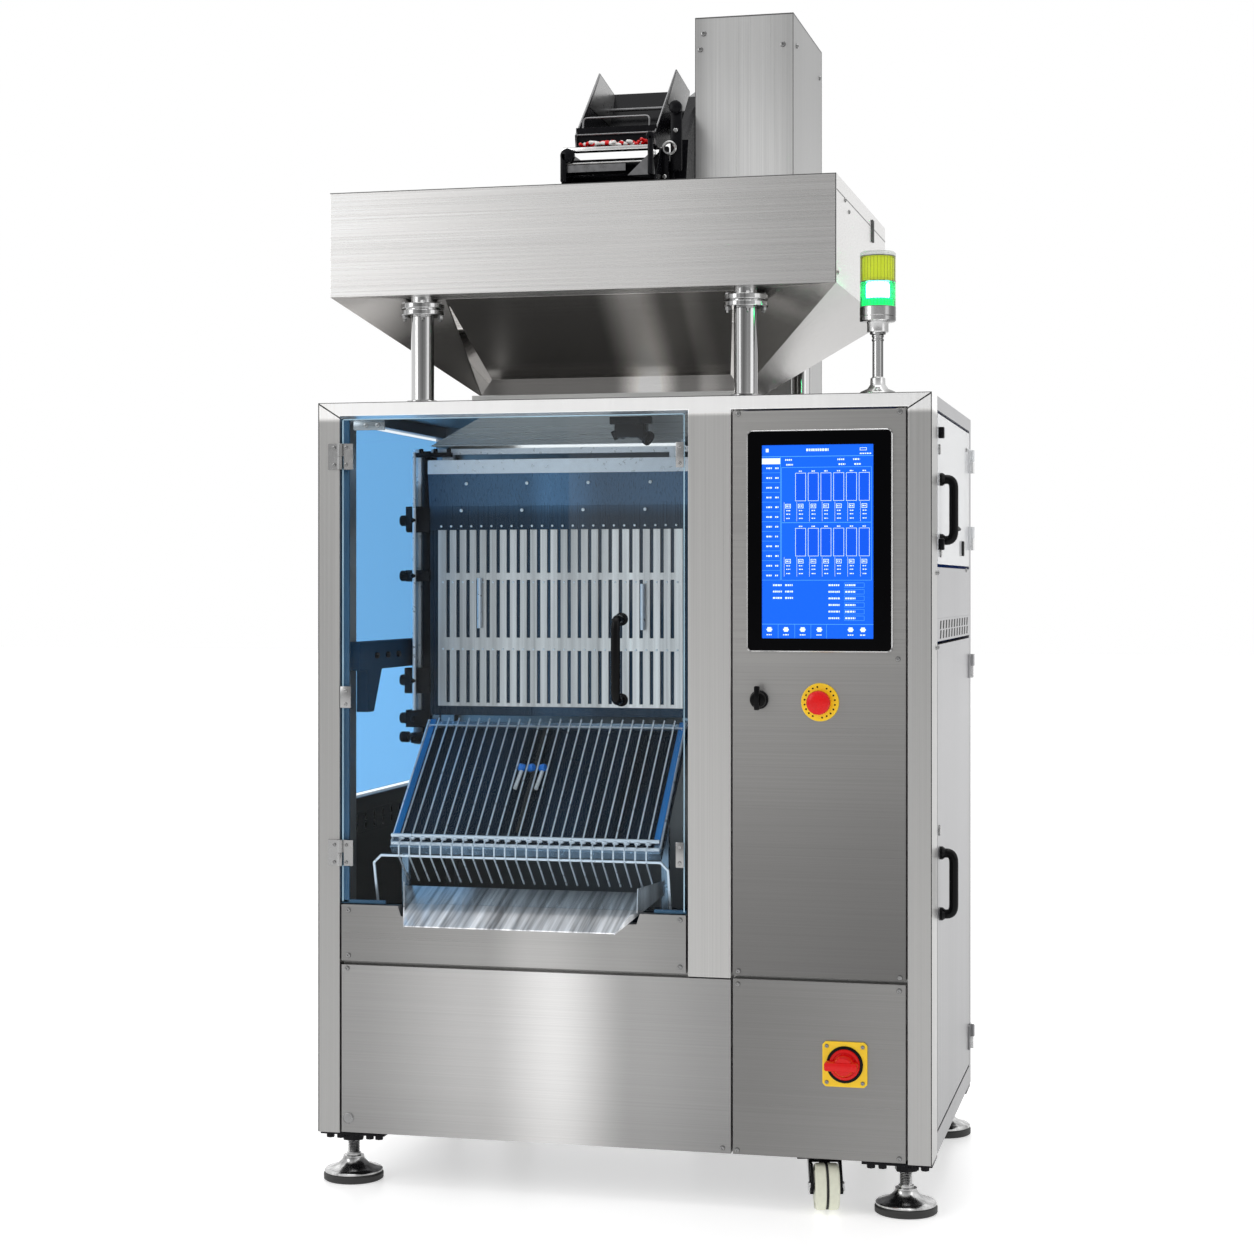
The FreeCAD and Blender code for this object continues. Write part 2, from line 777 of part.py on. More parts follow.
def funnel_solid(inset):
    """The hopper's folded lower part as a solid, made smaller all round by inset."""
    side = hopper_width / 2 - inset
    front = hopper_middle_y - hopper_front - inset
    crease = hopper_middle_y - hopper_ledge - inset
    crease_x = crease_half_width - inset
    neck_x = neck_half_width - inset
    neck_y = neck_half_depth - inset
    base_x = base_half_width - inset
    neck_top = base_top + neck_height

    def point(x, y, z):
        return vec(hopper_centre + x, hopper_middle_y + y, z)

    faces = []
    for fy in (-1, 1):
        faces.append([point(-crease_x, fy * crease, hopper_bottom),
                      point(crease_x, fy * crease, hopper_bottom),
                      point(neck_x, fy * neck_y, neck_top), point(-neck_x, fy * neck_y, neck_top)])
        faces.append([point(-neck_x, fy * neck_y, neck_top), point(neck_x, fy * neck_y, neck_top),
                      point(base_x, fy * neck_y, base_top), point(-base_x, fy * neck_y, base_top)])
        for fx in (-1, 1):
            faces.append([point(fx * side, fy * front, hopper_bottom),
                          point(fx * crease_x, fy * crease, hopper_bottom),
                          point(fx * base_x, fy * neck_y, base_top)])
            faces.append([point(fx * crease_x, fy * crease, hopper_bottom),
                          point(fx * neck_x, fy * neck_y, neck_top),
                          point(fx * base_x, fy * neck_y, base_top)])
    for fx in (-1, 1):
        faces.append([point(fx * side, -front, hopper_bottom), point(fx * side, front, hopper_bottom),
                      point(fx * base_x, neck_y, base_top), point(fx * base_x, -neck_y, base_top)])
    faces.append([point(-base_x, -neck_y, base_top), point(base_x, -neck_y, base_top),
                  point(base_x, neck_y, base_top), point(-base_x, neck_y, base_top)])
    faces.append([point(-side, -front, hopper_bottom), point(-crease_x, -crease, hopper_bottom),
                  point(crease_x, -crease, hopper_bottom), point(side, -front, hopper_bottom),
                  point(side, front, hopper_bottom), point(crease_x, crease, hopper_bottom),
                  point(-crease_x, crease, hopper_bottom), point(-side, front, hopper_bottom)])
    return solid_from(faces)


def hopper_funnel():
    return funnel_solid(0).cut(funnel_solid(hopper_sheet))


def hopper_neck():
    """The bolted base frame on the cabinet's roof, and the outlet below it in the chamber."""
    base_x = base_half_width + base_flange
    frame = block((hopper_centre - base_x, hopper_centre + base_x),
                  (neck_front - base_flange, neck_rear + base_flange), (cabinet_top, base_top))
    bore = block((hopper_centre - neck_half_width + hopper_sheet,
                  hopper_centre + neck_half_width - hopper_sheet),
                 (neck_front + hopper_sheet, neck_rear - hopper_sheet),
                 (cabinet_top - 10, base_top + 1))

    def skin(inset):
        top = [vec(hopper_centre + x * (neck_half_width - 0.5 - inset), y, cabinet_top)
               for x, y in ((-1, neck_front + 0.5 + inset), (1, neck_front + 0.5 + inset),
                            (1, neck_rear - 0.5 - inset), (-1, neck_rear - 0.5 - inset))]
        low = [vec(guide_centre + x * (guide_half - inset), y, outlet_bottom)
               for x, y in ((-1, outlet_front + inset), (1, outlet_front + inset),
                            (1, outlet_rear - inset), (-1, outlet_rear - inset))]
        wires = [Part.makePolygon(top + top[:1]), Part.makePolygon(low + low[:1])]
        return Part.makeLoft(wires, True, True)

    outlet = skin(0).cut(skin(hopper_sheet))
    return join([frame.cut(bore), outlet])


def hopper_pillars():
    """Four tubes, each with a bolted flange pair and a short stub up to the hopper."""
    pillars = []
    gap_low = pillar_joint_z - pillar_flange_thickness
    gap_high = pillar_joint_z + pillar_flange_thickness
    outline = [(pillar_radius, cabinet_top), (pillar_radius, gap_low),
               (pillar_flange_radius, gap_low), (pillar_flange_radius, gap_high),
               (pillar_radius, gap_high), (pillar_radius, hopper_bottom)]
    for x in (-pillar_half_spacing, pillar_half_spacing):
        for y in (pillar_inset, hopper_front + hopper_rear - pillar_inset):
            pillars.append(at(faceted(outline, tube_sides), hopper_centre + x, y, 0))
    return pillars


# Lift column and bucket

def lift_column():
    """The closed column with a base plate on the floor and two brackets to the cabinet's back."""
    right = column_left + column_width
    shaft = block((column_left, right), (column_front, column_rear),
                  (column_foot_thickness, column_top))
    foot = block((column_left - column_foot_reach, right + column_foot_reach),
                 (column_front + 10, column_rear), (0, column_foot_thickness))
    parts = [shaft, foot]
    for z in (cabinet_top - column_bracket_inset, cabinet_bottom + column_bracket_inset):
        parts.append(block((column_left + 20, right - 20), (cabinet_depth, column_front),
                           (z, z + column_bracket_height)))
    return join(parts)


def lift_arm():
    """The dark carriage on the column's left side, with the bearing that carries the bucket."""
    x_span = (column_left - arm_thickness, column_left)
    y, z = bucket_pivot_y, bucket_pivot_z
    foot_z = chute_low + 8
    outline = [(chute_front + 60, foot_z), (y + 65, foot_z), (y + 65, z + 30), (y + 30, z + 65),
               (y - 40, z + 40), (chute_rear - 44, z - 60)]
    plate = profile_x(outline, x_span)
    boss = rod(trunnion_radius + 12, vec(bucket_right + 6, y, z), vec(x_span[1], y, z))
    bore = rod(trunnion_radius + running_clearance, vec(bucket_right, y, z),
               vec(x_span[0] + 14, y, z))
    spacer = block((x_span[0] - arm_spacer, x_span[0]), (chute_front + 70, chute_rear - 4),
                   (chute_low + 12, chute_high - 20))
    return join([plate, boss, spacer]).cut(bore)


def from_pivot(y, z):
    return (bucket_pivot_y + y, bucket_pivot_z + z)


bucket_lip = from_pivot(-bucket_throw, -bucket_lip_drop)
bucket_nose = from_pivot(-bucket_throw * 1.03, bucket_nose_height - bucket_lip_drop)
bucket_peak = from_pivot(-bucket_peak_height * 0.16, bucket_peak_height)
bucket_back = from_pivot(bucket_back_reach, bucket_peak_height * 0.82)
bucket_heel = from_pivot(bucket_back_reach * 0.53, -bucket_back_reach * 0.12)


def bucket():
    """A scoop, held tipped forward: two cheeks, a floor and a back, and a trunnion."""
    cheek = [bucket_lip, bucket_nose, bucket_peak, bucket_back, bucket_heel]
    parts = [profile_x(cheek, (bucket_left, bucket_left + bucket_sheet)),
             profile_x(cheek, (bucket_right - bucket_sheet, bucket_right))]
    for start, end in ((bucket_lip, bucket_heel), (bucket_heel, bucket_back)):
        length = math.hypot(end[0] - start[0], end[1] - start[1])
        across = (-(end[1] - start[1]) / length * bucket_sheet,
                  (end[0] - start[0]) / length * bucket_sheet)
        strip = [start, end, (end[0] + across[0], end[1] + across[1]),
                 (start[0] + across[0], start[1] + across[1])]
        parts.append(profile_x(strip, (bucket_left, bucket_right)))
    flap_z = bucket_lip[1] + bucket_flap_lift
    parts.append(block((bucket_left, bucket_right), (bucket_lip[0] + 3, bucket_lip[0] + 3 + bucket_sheet),
                       (flap_z, flap_z + bucket_flap_height)))
    pin = rod(trunnion_radius, vec(bucket_right - bucket_sheet, bucket_pivot_y, bucket_pivot_z),
              vec(column_left - arm_thickness + 13, bucket_pivot_y, bucket_pivot_z))
    return join(parts + [pin])


def bucket_chute():
    """The short chute between the bucket's lip and the hopper, with two bars and a flap."""
    left = bucket_left - 15
    right = column_left - arm_thickness - arm_spacer
    high = chute_low + chute_fall
    mouth = chute_front + chute_mouth
    floor = profile_x([(chute_front, chute_low), (chute_rear, high),
                       (chute_rear, high + chute_sheet), (chute_front, chute_low + chute_sheet)],
                      (left, right))
    cheek = [(chute_front, chute_low), (chute_rear, high), (chute_rear, chute_high),
             (mouth - 5, chute_high), (chute_front, chute_low + 50)]
    parts = [floor, profile_x(cheek, (left, left + chute_sheet)),
             profile_x(cheek, (right - chute_sheet, right)),
             block((left, right), (chute_rear - chute_sheet, chute_rear), (high, chute_high - 3))]
    for z_span in ((chute_low + 60, chute_low + 64), (chute_low + 80, chute_low + 92)):
        parts.append(block((left, right), (mouth - chute_sheet, mouth), z_span))
    parts.append(profile_y([(right - 1, chute_high - 4), (right - chute_flap_width, chute_low + 57),
                            (right - 1, chute_low + 53)], (mouth - chute_sheet, mouth)))
    return join(parts)


# Signal lamp

def lamp_stand():
    base = cabinet_top
    pole_top = base + lamp_pole_height
    collar_top = pole_top + lamp_neck_height
    body_top = collar_top + lamp_collar_height
    outline = [(lamp_base_radius, base), (lamp_base_radius, base + 5), (lamp_pole_radius, base + lamp_base_height),
               (lamp_pole_radius, pole_top), (lamp_pole_radius + 7, pole_top),
               (lamp_pole_radius + 7, collar_top), (lamp_body_radius - 2, collar_top),
               (lamp_body_radius - 2, body_top)]
    stand = at(faceted(outline, tube_sides), lamp_x, lamp_y, 0)
    cap_z = body_top + 2 * lens_height
    cap = [(lamp_body_radius, cap_z), (lamp_body_radius, cap_z + lamp_cap_height)]
    return [stand, at(faceted(cap, pad_sides), lamp_x, lamp_y, 0)]


def lamp_lens(level):
    low = cabinet_top + lamp_pole_height + lamp_neck_height + lamp_collar_height + level * lens_height
    outline = [(lamp_body_radius, low), (lamp_body_radius, low + lens_height)]
    return at(faceted(outline, pad_sides), lamp_x, lamp_y, 0)


# Guides in the chamber

def slot(x, low, high):
    """A long slot through the guide plate; the top row runs out of the plate's top edge."""
    over = 1 if high > guide_top - 1 else 0
    return block((x - slot_width / 2, x + slot_width / 2),
                 (guide_front - 1, guide_front + guide_sheet + 1), (low, high + over))


def guide_plate():
    plate = block((guide_centre - guide_half, guide_centre + guide_half),
                  (guide_front, guide_front + guide_sheet), (guide_bottom, guide_top))
    slots = []
    for lane in range(1, lane_count):
        x = guide_centre - guide_half + lane * lane_pitch
        slots += [slot(x, guide_bottom + low, guide_bottom + high) for low, high in slot_rows]
    return plate.cut(Part.makeCompound(slots))


def guide_housing():
    """The closed dark housing behind the slotted plate, with its screwed band and sloped head."""
    front = guide_front + guide_sheet
    back = front + guide_housing_depth
    low = guide_bottom - guide_housing_drop
    outline = [(front, low), (front, guide_top), (guide_front - sheet, guide_top),
               (guide_front - sheet, head_band_top), (guide_front - sheet - head_lean, head_top),
               (guide_front + head_depth, head_top), (back, head_band_top), (back, low)]
    half = guide_half + guide_margin
    return profile_x(outline, (guide_centre - half, guide_centre + half))


def guide_rod(x, low, high):
    return at(faceted([(rod_radius, low), (rod_radius, high)], tube_sides),
              x, guide_front + rod_seat, 0)


def guide_rods():
    """Crossbars over the head and the two upright rods beside the guides."""
    half = guide_half + guide_margin
    y_mid = guide_front + 8
    spacer_top = head_top + crossbar_height + crossbar_gap
    bars = [block((guide_centre - half, guide_centre + half), (guide_front - 12, y_mid),
                  (head_top, head_top + crossbar_height)),
            block((guide_centre - half, guide_centre + half), (y_mid, y_mid + 12),
                  (spacer_top, spacer_top + 10))]
    for side in (-1, 1):
        x = guide_centre + side * (half - 30)
        bars.append(block((x - 10, x + 10), (y_mid, y_mid + 12), (head_top, spacer_top)))
    rods = []
    for side in (-1, 1):
        x = guide_centre + side * (half + rod_offset)
        rods.append(guide_rod(x, rod_bottom, outlet_bottom - sheet))
    return [join(bars)] + rods


def clamp_blocks():
    """Dark clamps that hold the upright rods to the housing, three on each side."""
    half = guide_half + guide_margin
    y_rod = guide_front + rod_seat
    clamps = []
    for side in (-1, 1):
        x_rod = guide_centre + side * (half + rod_offset)
        edges = sorted((guide_centre + side * half, x_rod + side * clamp_width / 2))
        for z_span in clamp_levels:
            lump = block(edges, (y_rod - rod_seat, y_rod + rod_seat), z_span)
            clamps.append(lump.cut(guide_rod(x_rod, z_span[0] - 1, z_span[1] + 1)))
    return clamps


def support_beams():
    """Beams from the posts and the lining to the guide housing, with gussets under them."""
    half = guide_half + guide_margin
    y_span = (guide_front + beam_setback, guide_front + beam_setback + beam_depth)
    z_span = (beam_bottom, beam_top)
    inner = -post_inner + beam_depth / 2
    beam = block((-post_inner, guide_centre - half), y_span, z_span)
    arm = block((-post_inner, inner), (post_depth / 2, y_span[1]), z_span)
    gusset = profile_x([(post_depth, beam_bottom - gusset_height),
                        (post_depth + 30, beam_bottom - gusset_height),
                        (post_depth + gusset_height, beam_bottom), (post_depth, beam_bottom)],
                       (-post_inner, inner))
    right = block((guide_centre + half, chamber_right), y_span, z_span)
    return [join([beam, arm, gusset]), right]


# Wire slide and discharge tray

slide_angle = math.atan2(slide_top_z - slide_bottom_z, slide_top_y - slide_bottom_y)
along = (math.cos(slide_angle), math.sin(slide_angle))
across = (-math.sin(slide_angle), math.cos(slide_angle))


def slide_point(distance, lift):
    """(y, z) at a distance up the slide from its lower end, lifted square to it."""
    return (slide_bottom_y + distance * along[0] + lift * across[0],
            slide_bottom_z + distance * along[1] + lift * across[1])


slide_length = math.hypot(slide_top_y - slide_bottom_y, slide_top_z - slide_bottom_z)


def slide_strip(low, high, start, end, x_span):
    corners = [slide_point(start, low), slide_point(end, low), slide_point(end, high),
               slide_point(start, high)]
    return profile_x(corners, x_span)


def slide_frame():
    """Two stringers with a square bar across each end, on two legs."""
    slide_leg_y = tray_rear_y + door_gap
    slide_leg_top = slide_point((slide_leg_y - slide_bottom_y) / along[0] - 14, -stringer_height)[1]
    left = guide_centre - slide_half_width
    right = guide_centre + slide_half_width
    parts = []
    for x_span in ((left, left + stringer_width), (right - stringer_width, right)):
        parts.append(slide_strip(-stringer_height, 0, 0, slide_length, x_span))
    parts.append(slide_strip(-stringer_height, 0, 0, 12, (left, right)))
    parts.append(slide_strip(-stringer_height, 0, slide_length - 12, slide_length, (left, right)))
    for x_span in ((left, left + stringer_width), (right - stringer_width, right)):
        parts.append(block(x_span, (slide_leg_y, slide_leg_y + 12),
                           (deck_top(), slide_leg_top)))
        parts.append(block(x_span, (guide_front + guide_sheet, guide_front + guide_sheet + 12),
                           (slide_top_z - 14, guide_bottom - guide_housing_drop)))
    return join(parts)


def deck_top():
    return chute_panel_bottom + deck_lift + partition_thickness


def slide_tray():
    inner = slide_half_width - stringer_width
    return slide_strip(-slide_bed_drop, slide_sheet - slide_bed_drop, 12, slide_length - 12,
                       (guide_centre - inner, guide_centre + inner))


def lane_wires():
    """Wires down the slide that bend over its lower bar, welded to a stand and a cross wire."""
    half = guide_half
    bend_y, bend_z = slide_point(-wire_overhang, wire_lift)
    path = [slide_point(slide_length - 4, wire_lift), (bend_y, bend_z), (bend_y, stand_z),
            (wire_fall_y, wire_fall_z)]
    parts = []
    for lane in range(lane_count):
        x = guide_centre - half + (lane + 0.5) * lane_pitch
        parts.append(mitred_bar([vec(x, y, z) for y, z in path], wire_radius, wire_sides))
    rest_y, rest_z = slide_point(slide_length - 20, 0)
    cross_y, cross_z = slide_point(slide_length - 20, wire_lift - wire_radius)
    end = slide_half_width - stringer_width / 2
    parts.append(mitred_bar([vec(guide_centre - end, rest_y, rest_z),
                             vec(guide_centre - end, cross_y, cross_z),
                             vec(guide_centre + end, cross_y, cross_z),
                             vec(guide_centre + end, rest_y, rest_z)], wire_radius, wire_sides))
    stand_y = bend_y + stand_radius
    left = guide_centre - half - 34
    right = guide_centre + half + 26
    shin = deck_top() + stand_shin
    bend = stand_bend
    parts.append(mitred_bar([vec(left, stand_foot_y, deck_top()), vec(left, stand_foot_y, shin),
                             vec(left, stand_y, stand_z - bend), vec(left + bend, stand_y, stand_z),
                             vec(right - bend, stand_y, stand_z), vec(right, stand_y, stand_z - bend),
                             vec(right, stand_foot_y, shin), vec(right, stand_foot_y, deck_top())],
                            stand_radius, wire_sides))
    return join(parts)


def tray_half_width(y):
    share = (y - tray_lip_y) / (tray_rear_y - tray_lip_y)
    return tray_lip_half_width + share * (tray_rear_half_width - tray_lip_half_width)


def tray_floor_z(y):
    share = (y - tray_lip_y) / (tray_rear_y - tray_lip_y)
    return tray_lip_z + share * (tray_rear_z - tray_lip_z)


def discharge_tray():
    """A shallow channel on two folded feet that narrows to a lip in front of the cabinet."""
    lip, rear = tray_lip_half_width, tray_rear_half_width
    floor = sheet_on([vec(guide_centre - lip, tray_lip_y, tray_lip_z),
                      vec(guide_centre + lip, tray_lip_y, tray_lip_z),
                      vec(guide_centre + rear, tray_rear_y, tray_rear_z),
                      vec(guide_centre - rear, tray_rear_y, tray_rear_z)], tray_sheet)
    parts = [floor]
    low_edge = front_door_bottom - door_gap - 1
    for side in (-1, 1):
        outline = [(tray_lip_y, tray_lip_z - 1), (-6.0, low_edge), (14.0, low_edge),
                   (16.0, tray_floor_z(16) + tray_wing_height),
                   (tray_rear_y, tray_rear_z + tray_rear_rise), (tray_rear_y, tray_rear_z - 1)]
        corners = [vec(guide_centre + side * tray_half_width(y), y, z) for y, z in outline]
        parts.append(sheet_on(corners, tray_sheet))
        foot_x = guide_centre + side * tray_foot_x
        foot_span = (foot_x - tray_foot_width / 2, foot_x + tray_foot_width / 2)
        parts.append(block(foot_span, (tray_foot_y, tray_foot_y + tray_sheet),
                           (deck_top(), tray_floor_z(tray_foot_y) + tray_sheet / 2)))
        parts.append(block(foot_span, (tray_foot_y, tray_foot_y + tray_foot_width),
                           (deck_top(), deck_top() + tray_sheet)))
    return join(parts)


# Feet and casters

def foot_places():
    return [(side * (half_width - foot_inset), y)
            for side in (-1, 1) for y in (foot_inset, cabinet_depth - foot_inset)]


def levelling_feet():
    """A cone on a threaded stem, with a hexagon nut and a plate under the cabinet."""
    cone_top = pad_height + foot_cone_height
    plate_low = cabinet_bottom - foot_plate_thickness
    outline = [(foot_radius - 2, pad_height), (stem_radius + 6, cone_top), (stem_radius, cone_top),
               (stem_radius, plate_low)]
    nut_outline = [(nut_radius, plate_low - nut_height), (nut_radius, plate_low)]
    feet = []
    for x, y in foot_places():
        middle = x - math.copysign(foot_plate_shift, x)
        plate = block((middle - foot_plate_x / 2, middle + foot_plate_x / 2),
                      (y - foot_plate_y / 2, y + foot_plate_y / 2), (plate_low, cabinet_bottom))
        foot = join([faceted(outline, tube_sides), faceted(nut_outline, 6)])
        feet += [at(foot, x, y, 0), plate]
    return feet


def foot_pads():
    outline = [(foot_radius, 0), (foot_radius, pad_height)]
    return [at(faceted(outline, pad_sides), x, y, 0) for x, y in foot_places()]


def caster_places():
    """One caster at the front right and two at the rear."""
    rear_y = cabinet_depth - caster_y
    return {"front_right": (caster_x, caster_y), "rear_left": (-caster_x, rear_y),
            "rear_right": (caster_x, rear_y)}


axle_z = wheel_floor_gap + wheel_radius
plate_z = cabinet_bottom - caster_plate_thickness
crown_top = plate_z - race_height - face_clearance
crown_low = crown_top - fork_sheet


def turned_caster(shape, x, y):
    shape.rotate(vec(x, y, 0), z_axis, caster_turn)
    return shape


def caster_plates():
    """Bolted plates on risers under the floor pan, each with its swivel race and a headed kingpin."""
    plates = []
    head_top = crown_low - face_clearance
    for x, y in caster_places().values():
        plate = block((x - caster_plate_x / 2, x + caster_plate_x / 2),
                      (y - caster_plate_y / 2, y + caster_plate_y / 2), (plate_z, cabinet_bottom))
        riser = block((x - riser_x / 2, x + riser_x / 2), (y - riser_y / 2, y + riser_y / 2),
                      (cabinet_bottom, pan_height))
        race = mitred_bar([vec(x, y, crown_top + face_clearance), vec(x, y, plate_z)], race_radius, 8)
        head = mitred_bar([vec(x, y, head_top - kingpin_head), vec(x, y, head_top)],
                          kingpin_radius + kingpin_head, 6)
        pin = Part.makeCylinder(kingpin_radius, plate_z - head_top, vec(x, y, head_top))
        for parts in ([plate, riser], [race, pin, head]):
            plates.append(turned_caster(join(parts), x, y))
    return plates


def caster_fork(x, y):
    """The crown, two legs that lean forward to the axle, and the axle."""
    inner = wheel_width / 2 + wheel_side_gap
    outer = inner + fork_sheet
    parts = [block((x - outer, x + outer), (y - fork_half_depth, y + fork_half_depth),
                   (crown_low, crown_top))]
    axle_y = y - wheel_trail
    leg = [(y - fork_half_depth, crown_top), (y + fork_half_depth, crown_top),
           (axle_y + 12, axle_z - 4), (axle_y + 5, axle_z - 11), (axle_y - 5, axle_z - 11),
           (axle_y - 12, axle_z - 4)]
    for side in (-1, 1):
        parts.append(profile_x(leg, sorted((x + side * inner, x + side * outer))))
    parts.append(rod(axle_radius, vec(x - outer, axle_y, axle_z), vec(x + outer, axle_y, axle_z)))
    bore = Part.makeCylinder(kingpin_radius + running_clearance, fork_sheet + 2,
                             vec(x, y, crown_low - 1))
    return turned_caster(join(parts).cut(bore), x, y)


def caster_wheel(x, y):
    """A solid wheel with softened edges and a bore for the axle."""
    half = wheel_width / 2
    outline = [(wheel_radius - wheel_edge, -half), (wheel_radius, wheel_edge - half),
               (wheel_radius, half - wheel_edge), (wheel_radius - wheel_edge, half)]
    wheel = faceted(outline, pad_sides)
    wheel = wheel.cut(Part.makeCylinder(axle_radius + running_clearance, wheel_width + 2,
                                        vec(0, 0, -half - 1)))
    wheel.Placement = FreeCAD.Placement(vec(x, y - wheel_trail, axle_z),
                                        FreeCAD.Rotation(z_axis, x_axis))
    return turned_caster(wheel, x, y)


def build_cabinet():
    save("front_frame", [front_frame()])
    save("body_frame", [body_frame()])
    save("top_panel", [top_panel()])
    save("rear_panel", [rear_panel()])
    save("control_panel", [control_panel()])
    save("switch_panel", [switch_panel()])
    save("lower_front_panel", [lower_front_panel()])
    save("chute_panel", [chute_panel()])
    save("chamber_lining", [chamber_lining()])
    save("side_panels", side_panels())
    save("vent_panels", [vent_panel(1, 0), vent_panel(-1, left_vent_drop)])


def build_doors():
    fixed_halves = []
    fixed, moving = hinge_set(front_hinge_x, 0, 0, (hinge_low_z, hinge_high_z))
    fixed_halves += fixed
    save("front_door_glass", [front_door_glass()])
    save("front_door_hinges", moving)
    handle = pull_handle(handle_length, handle_reach)
    handle.translate(vec(chamber_right - front_handle_inset, 0, front_handle_z))
    save("front_door_handle", [handle])

    upper = (upper_door_bottom, rail_bottom - door_gap)
    lower = (cabinet_bottom + bottom_rail_height + door_gap, lower_door_top - 2)
    left = (left_door_bottom, rail_bottom - door_gap)
    doors = (("right_upper_door", 1, upper, upper_handle_z, glass_door),
             ("right_lower_door", 1, lower, lower_handle_z, steel_door),
             ("left_door", -1, left, left_handle_z, glass_door))
    for name, side, z_span, handle_z, make in doors:
        heights = (z_span[0] + side_hinge_inset, z_span[1] - side_hinge_inset)
        fixed, moving = side_hinges(side, heights)
        fixed_halves += fixed
        panel = make(side, z_span)
        save(name, [join([panel] + moving)])
        save(name + "_handle", [side_handle(side, handle_z, side_handle_length)])
    save("fixed_hinges", fixed_halves)


def build_controls():
    save("screen_bezel", [screen_bezel()])
    save("screen_glass", [screen_glass()])
    save("switch_plates", switch_plates())
    save("stop_button", [stop_button()])
    save("selector_collar", [selector_collar()])
    save("selector_key", [selector_key()])
    save("main_switch_handle", [main_switch_handle()])


def build_hopper():
    save("hopper_band", [hopper_band()])
    save("hopper_funnel", [hopper_funnel()])
    save("hopper_neck", [hopper_neck()])
    save("hopper_pillars", hopper_pillars())


def build_lift():
    save("lift_column", [lift_column()])
    save("lift_arm", [lift_arm()])
    save("bucket", [bucket()])
    save("bucket_chute", [bucket_chute()])


def build_lamp():
    save("lamp_stand", lamp_stand())
    save("lamp_lens_green", [lamp_lens(0)])
    save("lamp_lens_yellow", [lamp_lens(1)])


def build_guides():
    save("guide_plate", [guide_plate()])
    save("guide_housing", [guide_housing()])
    save("guide_rods", guide_rods())
    save("clamp_blocks", clamp_blocks())
    save("support_beams", support_beams())
    save("slide_frame", [slide_frame()])
    save("slide_tray", [slide_tray()])
    save("lane_wires", [lane_wires()])
    save("discharge_tray", [discharge_tray()])


def build_supports():
    save("levelling_feet", levelling_feet())
    save("foot_pads", foot_pads())
    save("caster_plates", caster_plates())
    for place, (x, y) in caster_places().items():
        save("caster_fork_" + place, [caster_fork(x, y)])
        save("caster_wheel_" + place, [caster_wheel(x, y)])


os.makedirs("parts", exist_ok=True)
build_cabinet()
build_doors()
build_controls()
build_hopper()
build_lift()
build_lamp()
build_guides()
build_supports()
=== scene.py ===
"""Looks of the capsule checkweigher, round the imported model. Lengths are in millimetres
until a mesh is made, in the frame's own axes: +X to the right, +Y to the back, +Z up."""
import math
import random

import bmesh
import bpy
from mathutils import Matrix, Vector


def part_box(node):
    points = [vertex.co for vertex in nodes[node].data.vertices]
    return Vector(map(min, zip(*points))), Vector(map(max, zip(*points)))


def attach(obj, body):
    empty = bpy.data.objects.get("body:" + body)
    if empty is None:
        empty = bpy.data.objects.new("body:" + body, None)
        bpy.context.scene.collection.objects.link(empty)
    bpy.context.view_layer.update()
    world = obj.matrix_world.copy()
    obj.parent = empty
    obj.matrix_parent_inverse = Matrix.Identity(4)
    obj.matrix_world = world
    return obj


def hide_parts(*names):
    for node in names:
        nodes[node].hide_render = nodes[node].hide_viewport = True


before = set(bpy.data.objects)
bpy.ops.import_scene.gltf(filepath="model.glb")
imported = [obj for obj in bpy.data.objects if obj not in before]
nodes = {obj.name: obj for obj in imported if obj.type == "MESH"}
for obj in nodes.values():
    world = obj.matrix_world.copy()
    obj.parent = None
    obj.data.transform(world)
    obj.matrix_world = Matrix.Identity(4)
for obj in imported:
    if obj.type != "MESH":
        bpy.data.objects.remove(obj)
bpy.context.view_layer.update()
random.seed(7)

MM = 0.001
UP, FORWARD, RIGHT, LEFT = (0, 0, 1), (0, -1, 0), (1, 0, 0), (-1, 0, 0)


def span(node):
    """A node's extent as three (low, high) pairs."""
    low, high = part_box(node)
    return [(a / MM, b / MM) for a, b in zip(low, high)]


def added(name, data):
    """Puts new data in the scene as an object."""
    made = bpy.data.objects.new(name, data)
    bpy.context.scene.collection.objects.link(made)
    return made


# Places taken from the frame

front_y = span("front_frame")[1][0]
cabinet_right = span("front_frame")[0][1]
door_x, door_y, door_z = span("front_door_glass")
bezel_x, bezel_y, bezel_z = span("screen_bezel")
band_x, band_y, band_z = span("hopper_band")
guide_x, guide_y = span("guide_plate")[:2]
housing_front = span("guide_housing")[1][0]
slide_x, slide_y = span("slide_frame")[:2]
tray_x = span("discharge_tray")[0]
bucket_left = span("bucket")[0][0]
cabinet_depth, column_gap, column_depth = 640, 10, 337
column_front = front_y + cabinet_depth + column_gap
column_left, column_right, column_top = -8, 176, 2026
lanes = 24
lane_step = (guide_x[1] - guide_x[0]) / lanes
lane_xs = [guide_x[0] + lane_step * (lane + 0.5) for lane in range(lanes)]


def spot(x, depth, z):
    """A point at a depth behind the cabinet's front."""
    return (x, front_y + depth, z)


def deep(near, far):
    """The span between two depths behind the cabinet's front."""
    return (front_y + near, front_y + far)


def inset(pair, margin):
    """A span that is shorter by a margin at both ends."""
    return (pair[0] + margin, pair[1] - margin)


# Shapes

